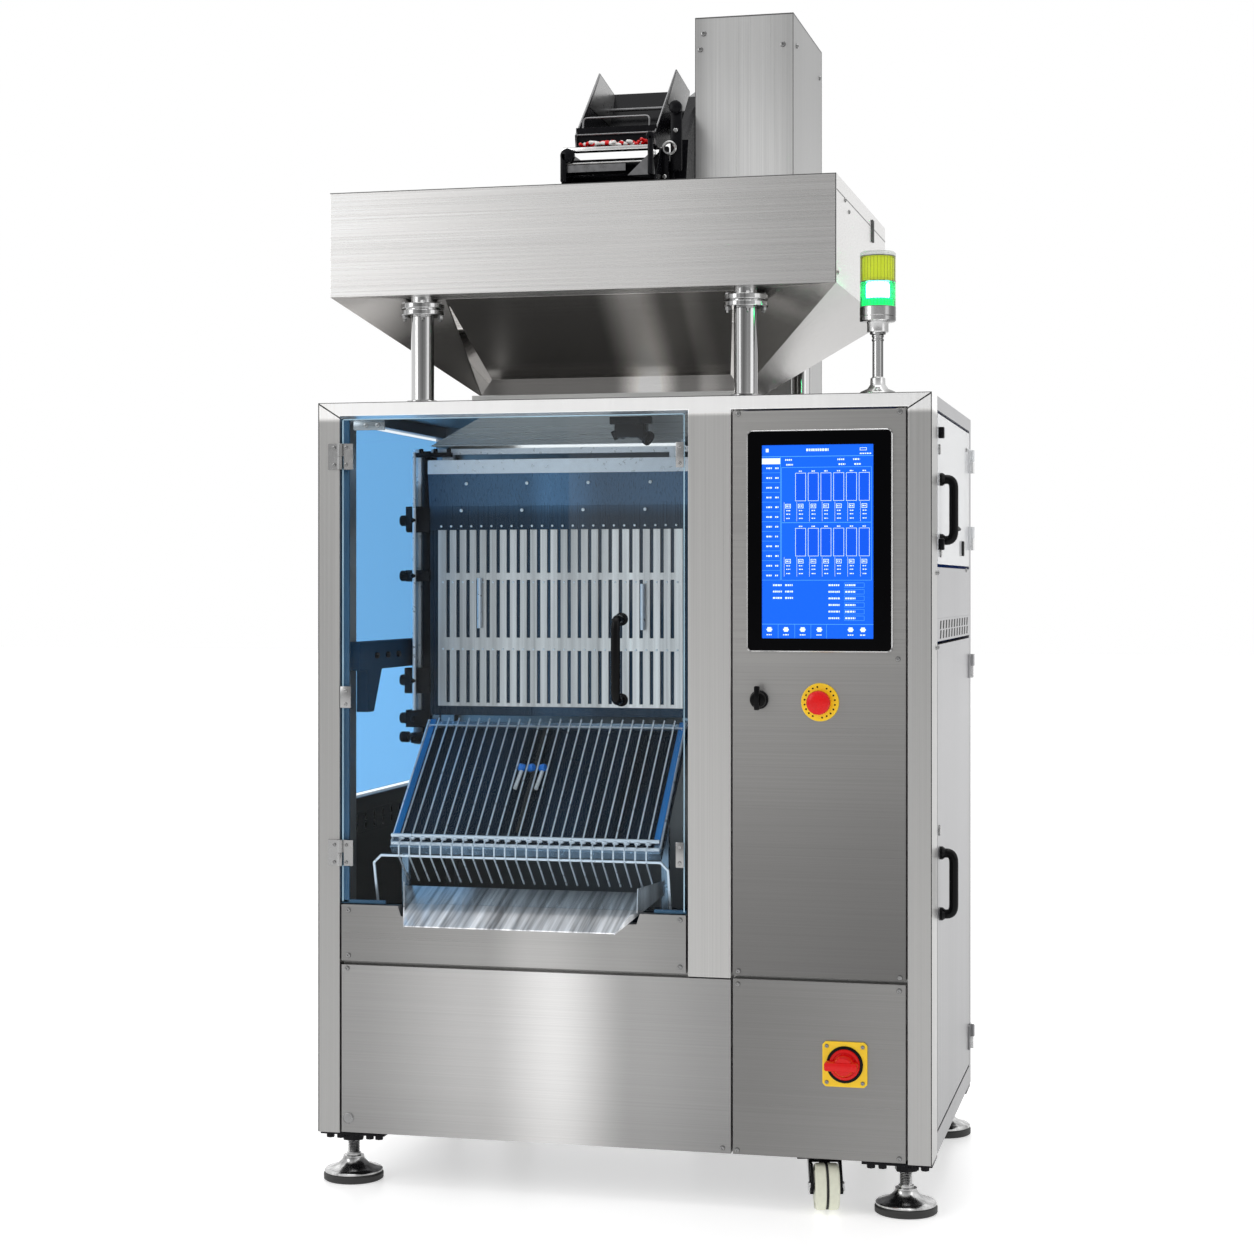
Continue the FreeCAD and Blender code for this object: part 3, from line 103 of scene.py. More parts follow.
def rounded(points, radius, steps=5):
    """The points with each corner turned into an arc-like curve that starts radius before it."""
    points = [Vector(p) for p in points]
    path = [points[0]]
    for before, corner, after in zip(points, points[1:], points[2:]):
        start = corner + (before - corner).normalized() * min(radius, (before - corner).length / 2)
        end = corner + (after - corner).normalized() * min(radius, (after - corner).length / 2)
        for step in range(steps + 1):
            t = step / steps
            path.append(start * (1 - t) ** 2 + corner * 2 * t * (1 - t) + end * t ** 2)
    path.append(points[-1])
    return path


def circle(centre, radius, count, start=0):
    """Points (first, second) on a circle, from an angle in degrees."""
    angles = [math.radians(start) + 2 * math.pi * step / count for step in range(count)]
    return [(centre[0] + radius * math.cos(a), centre[1] + radius * math.sin(a)) for a in angles]


class Shape:
    """Collects the faces of one piece."""

    def __init__(self):
        self.mesh = bmesh.new()

    def skin(self, rings, loop=False):
        """Joins rings of equally many points; open ends get a cap."""
        rows = [[self.mesh.verts.new(Vector(p) * MM) for p in ring] for ring in rings]
        pairs = list(zip(rows, rows[1:])) + ([(rows[-1], rows[0])] if loop else [])
        for low, high in pairs:
            for index in range(len(low)):
                after = (index + 1) % len(low)
                self.mesh.faces.new((low[index], low[after], high[after], high[index]))
        if not loop:
            self.mesh.faces.new(rows[0][::-1])
            self.mesh.faces.new(rows[-1])

    def box(self, x, y, z, edge=0):
        """A block between three spans, with its edges rounded by edge."""
        middle = Vector(((x[0] + x[1]) / 2, (y[0] + y[1]) / 2, (z[0] + z[1]) / 2)) * MM
        size = Vector((abs(x[1] - x[0]), abs(y[1] - y[0]), abs(z[1] - z[0]))) * MM
        made = bmesh.ops.create_cube(self.mesh, size=1,
                                     matrix=Matrix.Translation(middle) @ Matrix.Diagonal(size).to_4x4())
        if edge:
            edges = list({e for v in made["verts"] for e in v.link_edges})
            bmesh.ops.bevel(self.mesh, geom=edges, offset=edge * MM, segments=2, profile=0.5,
                            affect="EDGES")

    def lathe(self, profile, at, axis, steps=28):
        """Turns (radius, distance) points about the axis that starts at a point."""
        axis = Vector(axis).normalized()
        side = axis.orthogonal().normalized()
        other = axis.cross(side)
        rings = []
        for radius, distance in profile:
            centre = Vector(at) + axis * distance
            ring = []
            for step in range(steps):
                angle = 2 * math.pi * step / steps
                ring.append(centre + (side * math.cos(angle) + other * math.sin(angle)) * max(radius, 0.02))
            rings.append(ring)
        self.skin(rings)

    def tube(self, points, radius, sides=10):
        """A round bar along points."""
        points = [Vector(p) for p in points]
        run = (points[1] - points[0]).normalized()
        side = run.orthogonal().normalized()
        rings = []
        for index, point in enumerate(points):
            before = points[max(index - 1, 0)]
            after = points[min(index + 1, len(points) - 1)]
            run = (after - before).normalized()
            side = (side - run * side.dot(run)).normalized()
            other = run.cross(side)
            rings.append([point + (side * math.cos(a) + other * math.sin(a)) * radius
                          for a in (2 * math.pi * step / sides for step in range(sides))])
        self.skin(rings)

    def slab(self, outline, low, high, axis):
        """A flat piece: an outline of two coordinates carried along the third axis."""
        def place(a, b, c):
            return {"x": (c, a, b), "y": (a, c, b), "z": (a, b, c)}[axis]
        self.skin([[place(a, b, low) for a, b in outline], [place(a, b, high) for a, b in outline]])

    def screw(self, at, facing, radius=4.2, rise=2.2):
        """A domed screw head with a hexagon socket."""
        self.lathe([(radius, -0.3), (radius, rise * 0.35), (radius * 0.86, rise * 0.8),
                    (radius * 0.55, rise), (radius * 0.45, rise), (radius * 0.42, rise * 0.3)],
                   at, facing, 14)

    def made(self, name, look, slot, body="cabinet", replaced=(), smooth=35):
        """Ends the piece: its look, the body it rides on and the nodes it replaces. The slot is not used."""
        bmesh.ops.recalc_face_normals(self.mesh, faces=self.mesh.faces)
        data = bpy.data.meshes.new(name)
        self.mesh.to_mesh(data)
        self.mesh.free()
        piece = added(name, data)
        data.materials.append(looks[look])
        data.shade_smooth()
        data.set_sharp_from_angle(angle=math.radians(smooth))
        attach(piece, body)
        if replaced:
            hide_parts(*replaced)
        return piece


def turned(name, look, slot, profile, at, axis, steps, **rest):
    """A piece that is one turned shape."""
    shape = Shape()
    shape.lathe(profile, at, axis, steps)
    shape.made(name, look, slot, **rest)


# Shader nodes

looks = {}


def node(tree, kind, inputs=(), **settings):
    """Adds a node. Its inputs, by number or by name, are sockets to link or plain values."""
    made = tree.nodes.new("ShaderNode" + kind)
    for key, value in settings.items():
        setattr(made, key, value)
    for key, value in inputs.items() if isinstance(inputs, dict) else enumerate(inputs):
        if isinstance(value, bpy.types.NodeSocket):
            tree.links.new(value, made.inputs[key])
        else:
            made.inputs[key].default_value = value
    return made


def maths(tree, operation, *values):
    """The result of a sum on sockets and numbers."""
    return node(tree, "Math", values, operation=operation).outputs["Value"]


def ranged(tree, source, start, end, low, high, kind="LINEAR"):
    """Carries a value from start to end over to low to high."""
    inputs = {"Value": source, "From Min": start, "From Max": end, "To Min": low, "To Max": high}
    return node(tree, "MapRange", inputs, interpolation_type=kind).outputs["Result"]


def noise(tree, where, stretch, detail):
    """A noise level, stretched along the axes."""
    place = node(tree, "Mapping", {"Vector": where, "Scale": stretch}).outputs["Vector"]
    return node(tree, "TexNoise", {"Vector": place, "Scale": 1, "Detail": detail}).outputs["Fac"]


def varied(tree, level, middle, spread):
    """A noise level as a value that swings round a middle by a share of it."""
    noise_low, noise_high = 0.25, 0.75
    return ranged(tree, level, noise_low, noise_high, middle * (1 - spread), middle * (1 + spread))


def new_look(name):
    """Adds a material and gives its node tree."""
    made = bpy.data.materials.new(name)
    made.use_nodes = True
    looks[name] = made
    return made.node_tree


# Kinds of finish

def finish(name, colour, roughness, metallic=0, stretch=(90, 90, 90), spread=0.05, bump=0,
           rough_spread=0.15, cloud=0, cloud_stretch=(2, 2, 2), fades=(), specular=0.5):
    """A surface whose colour and gloss vary with a noise stretched along its grain. A fade paints
    light and shade along an axis: (axis, start, end, factor before, factor after), in metres of the frame."""
    tree = new_look(name)
    shader = tree.nodes["Principled BSDF"]
    shader.inputs["Metallic"].default_value = metallic
    shader.inputs["Specular IOR Level"].default_value = specular
    where = node(tree, "TexCoord").outputs["Object"]
    grain = noise(tree, where, stretch, 3)
    level = varied(tree, grain, 1, spread)
    if cloud:
        clouds = noise(tree, where, cloud_stretch, 1)
        level = maths(tree, "MULTIPLY", level, varied(tree, clouds, 1, cloud))
    # Painted light and shade: each fade makes the colour lighter or darker along one axis.
    if fades:
        parts = node(tree, "SeparateXYZ", (where,)).outputs
    for axis, *limits in fades:
        level = maths(tree, "MULTIPLY", level, ranged(tree, parts[axis], *limits, "SMOOTHSTEP"))
    tone = node(tree, "VectorMath", {0: colour, "Scale": level}, operation="SCALE").outputs["Vector"]
    tree.links.new(tone, shader.inputs["Base Color"])
    tree.links.new(varied(tree, grain, roughness, rough_spread), shader.inputs["Roughness"])
    if bump:
        grain_depth = 0.0002
        relief = node(tree, "Bump", {"Strength": bump, "Distance": grain_depth, "Height": grain})
        tree.links.new(relief.outputs["Normal"], shader.inputs["Normal"])
    return shader


def brushed(name, colour, roughness, grain="z", metallic=0.85, spread=0.08, cloud=0.08, along=1.5,
            across=800, bump=0.03, **settings):
    """Brushed sheet with its grain along one axis."""
    cloud_along, cloud_across, rough_spread = 0.6, 3.5, 0.2
    stretch = tuple(along if letter == grain else across for letter in "xyz")
    wide = tuple(cloud_along if letter == grain else cloud_across for letter in "xyz")
    finish(name, colour, roughness, metallic, stretch, spread, bump, rough_spread, cloud, wide, **settings)


def glowing(name, colour, strength, stretch=(3, 3, 3), spread=0.04, **settings):
    """A surface that also gives light of its own colour."""
    shader = finish(name, colour, 0.35, stretch=stretch, spread=spread, **settings)
    shader.inputs["Emission Color"].default_value = (*colour, 1)
    shader.inputs["Emission Strength"].default_value = strength


def glass(name, tint, gloss, clear, painted_reflection=0):
    """Thin sheet glass: a tint to look through and a reflection that grows at a low angle. A
    painted reflection can be added: more gloss over the upper right part of the front door."""
    darker, power, gain, least = 0.985, 5, 0.9, 0.008
    painted_reflection_x, painted_reflection_z = (-0.078, -0.076), (0.93, 0.96)
    tree = new_look(name)
    tree.nodes.remove(tree.nodes["Principled BSDF"])
    where = node(tree, "TexCoord").outputs["Object"]
    cloudy = node(tree, "TexNoise", {"Vector": where, "Scale": 2}).outputs["Fac"]
    colours = {"Fac": cloudy, "Color1": (*[value * darker for value in tint], 1), "Color2": (*tint, 1)}
    tone = node(tree, "MixRGB", colours).outputs["Color"]
    through = node(tree, "BsdfTransparent", {"Color": tone}).outputs["BSDF"]
    shine = node(tree, "BsdfGlossy", {"Color": (gloss, gloss, gloss, 1), "Roughness": 0.02}).outputs["BSDF"]
    slant = node(tree, "LayerWeight", {"Blend": 0.5}).outputs["Facing"]
    amount = maths(tree, "MULTIPLY_ADD", maths(tree, "POWER", slant, power), gain, least)
    # Painted reflection: more gloss over the upper right part of the front door.
    if painted_reflection:
        parts = node(tree, "SeparateXYZ", (where,)).outputs
        rightward = ranged(tree, parts["X"], *painted_reflection_x, 0, painted_reflection)
        upward = ranged(tree, parts["Z"], *painted_reflection_z, 0, 1)
        amount = maths(tree, "MULTIPLY_ADD", rightward, upward, amount)
    sheet = node(tree, "MixShader", (amount, through, shine)).outputs["Shader"]
    body = node(tree, "BsdfPrincipled", {"Base Color": tone, "Roughness": 0.3}).outputs["BSDF"]
    mixed = node(tree, "MixShader", (clear, body, sheet)).outputs["Shader"]
    tree.links.new(mixed, tree.nodes["Material Output"].inputs["Surface"])


# Sheet steel of the outside: lit and shaded copies of one steel, with painted light and shade in their fades

brushed("panel_steel", (0.33, 0.327, 0.32), 0.34)
# Painted shade: the control panel darker towards the bottom and the right; the switch panel a darker copy,
# lighter to the right.
brushed("control_steel", (0.33, 0.325, 0.318), 0.34, "x",
        fades=(("Z", 0.37, 0.95, 0.47, 1.08), ("X", 0.2, 0.46, 1.05, 0.92)))
brushed("switch_steel", (0.22, 0.217, 0.212), 0.34, "x", fades=(("X", 0.2, 0.46, 0.92, 1.12),))
# Painted reflection: a bright upright band on the lower panel and the chute panel, darker towards the sides;
# the lower panel also darker at the bottom.
brushed("lower_steel", (0.5, 0.495, 0.49), 0.36, "x",
        fades=(("X", -0.46, -0.2, 0.64, 1.05), ("X", -0.22, -0.1, 1, 1.5),
               ("X", -0.1, 0.03, 1, 0.47), ("X", 0.03, 0.186, 1, 0.8), ("Z", 0.085, 0.2, 0.86, 1)))
brushed("chute_steel", (0.32, 0.317, 0.312), 0.33, "x",
        fades=(("X", -0.46, -0.22, 0.72, 1.05), ("X", -0.22, -0.14, 1, 1.4),
               ("X", -0.12, 0, 1, 0.72), ("X", 0, 0.114, 1, 0.8)))
# Painted light: the frame darker at both sides and much lighter on its top face above 1.25 m.
brushed("frame_steel", (0.46, 0.456, 0.448), 0.34,
        fades=(("X", -0.5, 0.05, 0.83, 1.07), ("X", 0.2, 0.46, 1, 0.86), ("Z", 1.24, 1.25, 1, 2.5)))
# Painted shade: the sides darker towards the bottom.
brushed("side_steel", (0.36, 0.36, 0.37), 0.34, fades=(("Z", 0.1, 0.9, 0.62, 1),))
# Painted shade: the inner faces of the side sheets, inside the outer skins, near black.
brushed("side_sheet", (0.36, 0.36, 0.37), 0.34,
        fades=(("Z", 0.1, 0.9, 0.62, 1), ("X", -0.4996, -0.4989, 1, 0.05),
               ("X", 0.4989, 0.4996, 1, 20)))
# Painted light on the hopper band: lighter to the left, darker to the right, its right face lighter, its
# left face and back darker.
brushed("band_steel", (0.82, 0.81, 0.8), 0.28, "x", spread=0.04, cloud=0.03, bump=0, across=600,
        fades=(("X", -0.48, 0, 1.22, 0.98), ("X", 0, 0.34, 1, 0.7),
               ("X", 0.3505, 0.3512, 1, 1.3),
               ("X", band_x[0] * MM + 0.0002, band_x[0] * MM + 0.0009, 0.68, 1),
               ("Y", band_y[1] * MM - 0.0009, band_y[1] * MM - 0.0002, 1, 0.8)))
# Painted reflections: light and dark upright bands across the funnel, lighter low down.
brushed("funnel_steel", (0.19, 0.184, 0.178), 0.2, "x", across=260, spread=0.04,
        fades=(("X", -0.06, 0, 1, 5), ("X", 0.01, 0.06, 1, 0.22), ("X", 0.08, 0.1, 1, 1.9),
               ("X", 0.105, 0.14, 1, 0.56), ("X", 0.15, 0.26, 1, 1.7), ("X", -0.45, -0.3, 1.9, 1),
               ("Z", 1.3, 1.45, 1.25, 0.85)))
brushed("neck_steel", (0.62, 0.62, 0.61), 0.3, "x")
# Painted light and shade on the column: its left part, right face and back darker, lighter low down.
brushed("tower_steel", (0.74, 0.74, 0.735), 0.33,
        fades=(("X", 0.1745, 0.1755, 1, 0.46), ("X", -0.008, 0.03, 0.72, 1),
               ("X", 0.12, 0.174, 1, 0.84), ("Z", 1.65, 2, 1.25, 0.84),
               ("X", -0.0078, -0.0071, 0.9, 1), ("Y", 0.516, 0.518, 1, 0.66)))

# Inside of the chamber, with painted light and shade in the fades

# Painted light: the guide plate lighter to the right.
brushed("guide_steel", (0.74, 0.69, 0.65), 0.34, cloud=0.15, metallic=0.7, spread=0.3, across=110,
        fades=(("X", -0.12, -0.02, 0.92, 1.22),))
# Painted shade and light: the housing darker below 1.09 m and lighter right of x -0.2 m, less so past -0.1
# m.
brushed("dark_steel", (0.045, 0.095, 0.16), 0.3, metallic=0.6, cloud=0.4,
        fades=(("Z", 1.09, 1.12, 0.35, 1), ("X", -0.22, -0.18, 1, 1.7),
               ("X", -0.14, -0.08, 1, 0.6)))
# Painted shade: the lining darker towards the bottom, lighter at the ceiling.
brushed("lining_steel", (0.014, 0.05, 0.1), 0.6, metallic=0,
        fades=(("Z", 0.55, 0.8, 0.15, 1), ("Z", 1.2, 1.25, 1, 1.6)), specular=0.06)
finish("bed_steel", (0.008, 0.018, 0.034), 0.5, 0, (22, 2, 2), 0.9, specular=0.05)
# Painted light: the tray lighter at its front, darker behind.
finish("tray_steel", (0.74, 0.76, 0.79), 0.2, 0.35, (95, 3, 3), 0.8,
       fades=(("Y", -0.485, -0.44, 1.25, 0.75),))
finish("slide_steel", (0.26, 0.36, 0.46), 0.25, 0.7, (90, 90, 90), 0.1)
finish("navy_strip", (0.03, 0.09, 0.16), 0.35, 0.3, (3, 3, 3), 0.5)
finish("azure_strip", (0.006, 0.18, 0.5), 0.3, 0, (30, 3, 3), 0.6)
# Painted shade: the bars darker below 1.14 m.
finish("bar_steel", (0.88, 0.9, 0.93), 0.3, 0.35, fades=(("Z", 1.14, 1.16, 0.3, 1),))
# Painted shade: the bucket cheeks near black below 1.86 m.
finish("cheek_steel", (0.42, 0.42, 0.42), 0.3, 0.6, fades=(("Z", 1.86, 1.91, 0.08, 1),))
finish("wire_steel", (0.74, 0.77, 0.81), 0.3, 0.6)

# Small metal parts

# Painted light: the hinges lighter on the right side, past x 0.49 m.
finish("hinge_steel", (0.36, 0.36, 0.36), 0.25, 1, fades=(("X", 0.47, 0.49, 1, 2.3),))
# Painted shading of the round stand and pole: dark at the sides, light in the middle.
finish("stand_steel", (0.6, 0.6, 0.6), 0.2, 1, (3, 3, 3), 0.04,
       fades=(("X", 0.379, 0.4, 0.2, 1), ("X", 0.412, 0.437, 1, 0.22)))
finish("pole_steel", (0.6, 0.6, 0.6), 0.2, 1, (3, 3, 3), 0.04,
       fades=(("X", 0.4, 0.407, 0.14, 1), ("X", 0.41, 0.4175, 1, 0.16)))
finish("glass_edge", (0.42, 0.62, 0.75), 0.25, 0.2, (9, 9, 9), 0.3)
finish("grey_steel", (0.2, 0.2, 0.205), 0.3, 0.8, (90, 90, 90), 0.15)
finish("bright_steel", (0.82, 0.82, 0.82), 0.2, 1)
finish("pillar_steel", (0.4, 0.4, 0.4), 0.13, 1, (95, 95, 0.4), 0.85)
finish("screw_steel", (0.26, 0.26, 0.26), 0.26, 1)
finish("dot_white", (0.75, 0.78, 0.8), 0.3, 0.3)
finish("zinc", (0.6, 0.605, 0.61), 0.3, 1, (120, 120, 120), 0.12)
finish("cone_steel", (0.42, 0.42, 0.42), 0.2, 1, (70, 70, 3), 0.6)

# Plastics, rubber and black parts

finish("black_plastic", (0.002, 0.002, 0.0025), 0.2, 0, (400, 400, 400), 0.1, 0.05, specular=0.12)
finish("rubber_black", (0.02, 0.02, 0.02), 0.6, 0, (300, 300, 300), 0.15, 0.2)
finish("black_metal", (0.005, 0.005, 0.0065), 0.26, 0.1, (120, 120, 120), 0.15, specular=0.12)
finish("bezel_black", (0.0006, 0.0006, 0.001), 0.12, 0, (60, 60, 60), 0.1, specular=0.06)
finish("yellow_plastic", (0.95, 0.62, 0.005), 0.32, 0, (90, 90, 90), 0.04)
finish("red_plastic", (0.72, 0.004, 0.005), 0.26, 0, specular=0.3)
finish("blue_plastic", (0.02, 0.22, 0.75), 0.3, 0)
finish("white_plastic", (0.85, 0.84, 0.82), 0.35, 0, (90, 90, 90), 0.04)
finish("wheel_cream", (0.72, 0.73, 0.6), 0.42, 0, (140, 140, 140), 0.05)
finish("edge_shadow", (0.1, 0.1, 0.1), 0.5, 0.5, (200, 200, 200), 0.1)
# Near black for dark seams and grooves, and for painted shade and a painted dark reflection.
finish("seam_and_shade_dark", (0.012, 0.012, 0.012), 0.8, 0, (200, 200, 200), 0.1)

# Lit parts of the lamp and the screen

glowing("core_hot", (0.85, 1, 0.9), 22, stretch=(40, 40, 40), spread=0.1)
glowing("core_green", (0.12, 1, 0.45), 1.1, stretch=(40, 40, 40), spread=0.1)
glowing("core_yellow", (0.72, 0.8, 0.22), 0.7, stretch=(40, 40, 40), spread=0.1)
glowing("screen_blue", (0.0015, 0.085, 0.62), 0.8, spread=0.06, specular=0.2)
glowing("screen_white", (0.62, 0.75, 0.95), 0.7, specular=0.2)
glowing("screen_pale", (0.06, 0.28, 0.85), 0.8, specular=0.2)
glowing("screen_navy", (0, 0.062, 0.54), 0.8, specular=0.2)

# Glass

# The front glass gets a painted reflection of 0.035 over its upper right part.
glass("front_glass", (0.93, 0.97, 0.997), 0.8, 1, 0.035)
glass("side_glass", (0.93, 0.94, 0.95), 1, 0.5)
glass("blue_glass", (0.49, 0.765, 1), 0.6, 1)
glass("green_shell", (0.1, 0.86, 0.4), 0.8, 0.86)
glass("yellow_shell", (0.66, 0.7, 0.14), 0.8, 0.85)
glass("clear_shell", (0.86, 0.88, 0.86), 0.9, 0.85)


# Looks and soft edges, in millimetres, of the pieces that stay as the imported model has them

carried = [
    ("frame_steel", 1.2, "front_frame"),
    ("side_steel", 1.2, "body_frame"),
    ("panel_steel", 0.5, "top_panel"),
    ("panel_steel", 0.8, "rear_panel"),
    ("control_steel", 0, "control_panel"),
    ("switch_steel", 1, "switch_panel"),
    ("lower_steel", 1, "lower_front_panel"),
    ("chute_steel", 1, "chute_panel"),
    ("lining_steel", 0.5, "chamber_lining"),
    ("side_sheet", 0.8, "side_panels"),
    ("side_sheet", 0.5, "vent_panels"),
    ("hinge_steel", 0.5, "fixed_hinges", "front_door_hinges"),
    ("screen_blue", 0.3, "screen_glass"),
    ("yellow_plastic", 0.8, "switch_plates"),
    ("black_metal", 0.5, "selector_collar", "caster_plates", "bucket"),
    ("band_steel", 0.8, "hopper_band"),
    ("funnel_steel", 1.5, "hopper_funnel"),
    ("neck_steel", 0.8, "hopper_neck"),
    ("tower_steel", 1.2, "lift_column"),
    ("black_metal", 1, "lift_arm", "clamp_blocks"),
    ("black_metal", 0.6, "bucket_chute"),
    ("guide_steel", 0.3, "guide_plate"),
    ("dark_steel", 0.6, "guide_housing"),
    ("bar_steel", 0.6, "guide_rods"),
    ("lining_steel", 0.8, "support_beams"),
    ("slide_steel", 0.8, "slide_frame"),
    ("bed_steel", 0.4, "slide_tray"),
    ("wire_steel", 0, "lane_wires"),
    ("tray_steel", 0.5, "discharge_tray"),
    ("front_glass", 0.5, "front_door_glass"),
    ("side_glass", 0.6, "right_upper_door"),
    ("side_steel", 0.8, "right_lower_door"),
    ("blue_glass", 0.6, "left_door"),
    ("black_plastic", 0.6, "selector_key"),
    ("red_plastic", 1, "main_switch_handle"),
]
casters = ("front_right", "rear_left", "rear_right")
weld_gap, sharpest_kept = 0.00002, math.radians(32)
for place in casters:
    carried.append(("black_metal", 0.5, "caster_fork_" + place))


def dress(piece, look, edge):
    """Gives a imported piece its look, and rounds its edges by edge."""
    piece.data.materials.clear()
    piece.data.materials.append(looks[look])
    weld = piece.modifiers.new("weld", "WELD")
    weld.merge_threshold = weld_gap
    if edge:
        soft = piece.modifiers.new("edges", "BEVEL")
        soft.width = edge * MM
        soft.segments = 2
        soft.limit_method = "ANGLE"
        soft.angle_limit = sharpest_kept
        soft.harden_normals = True


for look, edge, *names in carried:
    for name in names:
        dress(nodes[name], look, edge)


# Screw heads, flush with what they hold

# on the front panels
screws = Shape()
for x, z in ((198, 1244), (451, 1243), (198, 372), (451, 371), (448, 862), (197, 351.5),
             (450, 350.6), (196, 91.6), (450, 91.9), (172.7, 93.5), (-450, 352), (-447.7, 446.7),
             (-447.7, 373.4), (104.5, 448.6), (104.5, 374.6)):
    screws.screw(spot(x, 0, z), FORWARD)
screws.lathe([(9, -0.3), (9, 1), (7.5, 2.2), (0, 2.6)], spot(-447.7, 0, 108), FORWARD, 22)
# on the column's side and front
for y, z in ((690, 1973), (961, 1970)):
    screws.screw(spot(column_right, y, z), RIGHT, 5, 3)
for x, z in ((8.4, 1996), (156.8, 1969), (2, 1967)):
    screws.screw((x, column_front, z), FORWARD, 5.2, 3)
# on the right of the hopper and of the cabinet
for y, z in ((99, 1588), (143, 1576), (18, 1463)):
    screws.screw(spot(band_x[1], y, z), RIGHT, 3.6)
for y, z in ((551, 1214), (89, 995), (551, 1002), (89, 878), (60, 995), (60, 878)):
    screws.screw(spot(cabinet_right, y, z), RIGHT, 3.6)
screws.made("panel_screws", "screw_steel", "zinc")


# Feet: pad, cone, threaded stem, nut and plate

def ringed(low, high, radius, depth, pitch):
    """A profile with grooves, for a thread."""
    profile = []
    height = low
    while height < high - pitch:
        profile += [(radius, height), (radius - depth, height + pitch / 2)]
        height += pitch
    return profile + [(radius, high)]


foot_x = 455
foot_ys = deep(45, 595)
pads, cones, nuts = Shape(), Shape(), Shape()
for x in (-foot_x, foot_x):
    inner = x - math.copysign(10, x)
    for y in foot_ys:
        pads.lathe([(47, 0), (49, 1.5), (49, 9.5), (46.5, 12)], (x, y, 0), UP, 44)
        cones.lathe([(46, 12), (47.6, 13), (47.6, 15.5), (45.5, 17.5), (38, 19.5), (25, 25), (19, 31),
                     (17, 36), (17, 38), (12, 38.2), (12, 42), (10, 42.2)] + ringed(43, 64, 10, 0.8, 2.5),
                    (x, y, 0), UP, 44)
        nuts.lathe([(17.5, 64), (18.8, 65.5), (18.8, 76.5), (17.5, 78)], (x, y, 0), UP, 6)
        nuts.box((inner - 55, inner + 55), (y - 35, y + 35), (78, 82.9), 0.8)
        for shift in (-42, -24, 26, 42):
            nuts.lathe([(6.5, 70.5), (7.2, 71.5), (7.2, 78)], (inner + shift, y - 22, 0), UP, 6)
pads.made("pads_round", "rubber_black", "black_plastic", replaced=("foot_pads",))
cones.made("feet_turned", "cone_steel", "zinc", replaced=("levelling_feet",), smooth=30)
nuts.made("feet_nuts", "black_metal", "black_metal")


# Caster wheels: a moulded tread with a groove, hub and axle bolt

caster_turn = 13.5
for place in casters:
    wheel = "caster_wheel_" + place
    hub = tuple((low + high) / 2 for low, high in span(wheel))
    turn = math.radians(caster_turn)
    axle = (math.cos(turn), math.sin(turn), 0)
    half = [(9, -18.6), (24, -18.6), (26, -16.5), (31, -16.5), (33.5, -18.6), (35.6, -16), (36, -8),
            (36, -3), (34.2, -1.8)]
    turned("tread_" + place, "wheel_cream", "wheel_grey", half + [(r, -d) for r, d in half[::-1]],
           hub, axle, 48, body=wheel, replaced=(wheel,), smooth=30)
    turned("groove_" + place, "seam_and_shade_dark", "black_plastic",
           [(33.5, -1.7), (34.9, -1.7), (34.9, 1.7), (33.5, 1.7)], hub, axle, 48, body=wheel)
    fork_x, fork_y, fork_z = span("caster_fork_" + place)
    trail = Vector((sum(fork_x) / 2 - hub[0], sum(fork_y) / 2 - hub[1], 0))
    run = Vector((-axle[1], axle[0], 0))
    if run.dot(trail) < 0:
        run = -run
    rise = fork_z[1] - hub[2]
    outline = [(-9, -10), (9, -10), (13, 0), (32, rise - 5), (8, rise - 3), (-13, 4)]
    bolt, cheek = Shape(), Shape()
    for side in (-1, 1):
        outward = Vector(axle) * side
        bolt.lathe([(6.5, 0), (8, 0.6), (8, 3), (6.5, 4.2), (3, 4.5)],
                   Vector(hub) + outward * 24.5, outward, 20)
        cheek.skin([[Vector(hub) + outward * distance + run * u + Vector((0, 0, v)) for u, v in outline]
                    for distance in (20.2, 24.4)])
    bolt.made("axle_" + place, "zinc", "zinc", "caster_fork_" + place)
    cheek.made("cheeks_" + place, "black_metal", "black_metal", "caster_fork_" + place)


# Bow handles with round feet

bow_radius, bow_foot_radius = 7.4, 10.5


def bow(name, body, node, low, high, out, facing):
    """A black bow from one foot to the other, standing out by a distance."""
    facing = Vector(facing)
    path = rounded([low, Vector(low) + facing * out, Vector(high) + facing * out, high], 15, 7)
    shape = Shape()
    shape.tube(path, bow_radius, 16)
    foot = [(bow_foot_radius, 0), (bow_foot_radius, 4), (9, 6), (7, 8.5)]
    for end in (low, high):
        shape.lathe(foot, end, facing, 20)
    shape.made(name, "black_plastic", "black_plastic", body, replaced=(node,))


for name, body, facing in (("front_door_handle", "front_door", FORWARD),
                           ("right_upper_door_handle", "right_upper_door", RIGHT),
                           ("right_lower_door_handle", "right_lower_door", RIGHT),
                           ("left_door_handle", "left_door", LEFT)):
    (x0, x1), (y0, y1), z_span = span(name)
    if facing == FORWARD:
        seat, reach = ((x0 + x1) / 2, y1), y1 - y0
    else:
        seat, reach = (x0 if facing == RIGHT else x1, (y0 + y1) / 2), x1 - x0
    low, high = [(*seat, z) for z in inset(z_span, bow_foot_radius + 0.1)]
    bow(name + "_bow", body, name, low, high, reach - bow_radius - 0.2, facing)


# Controls

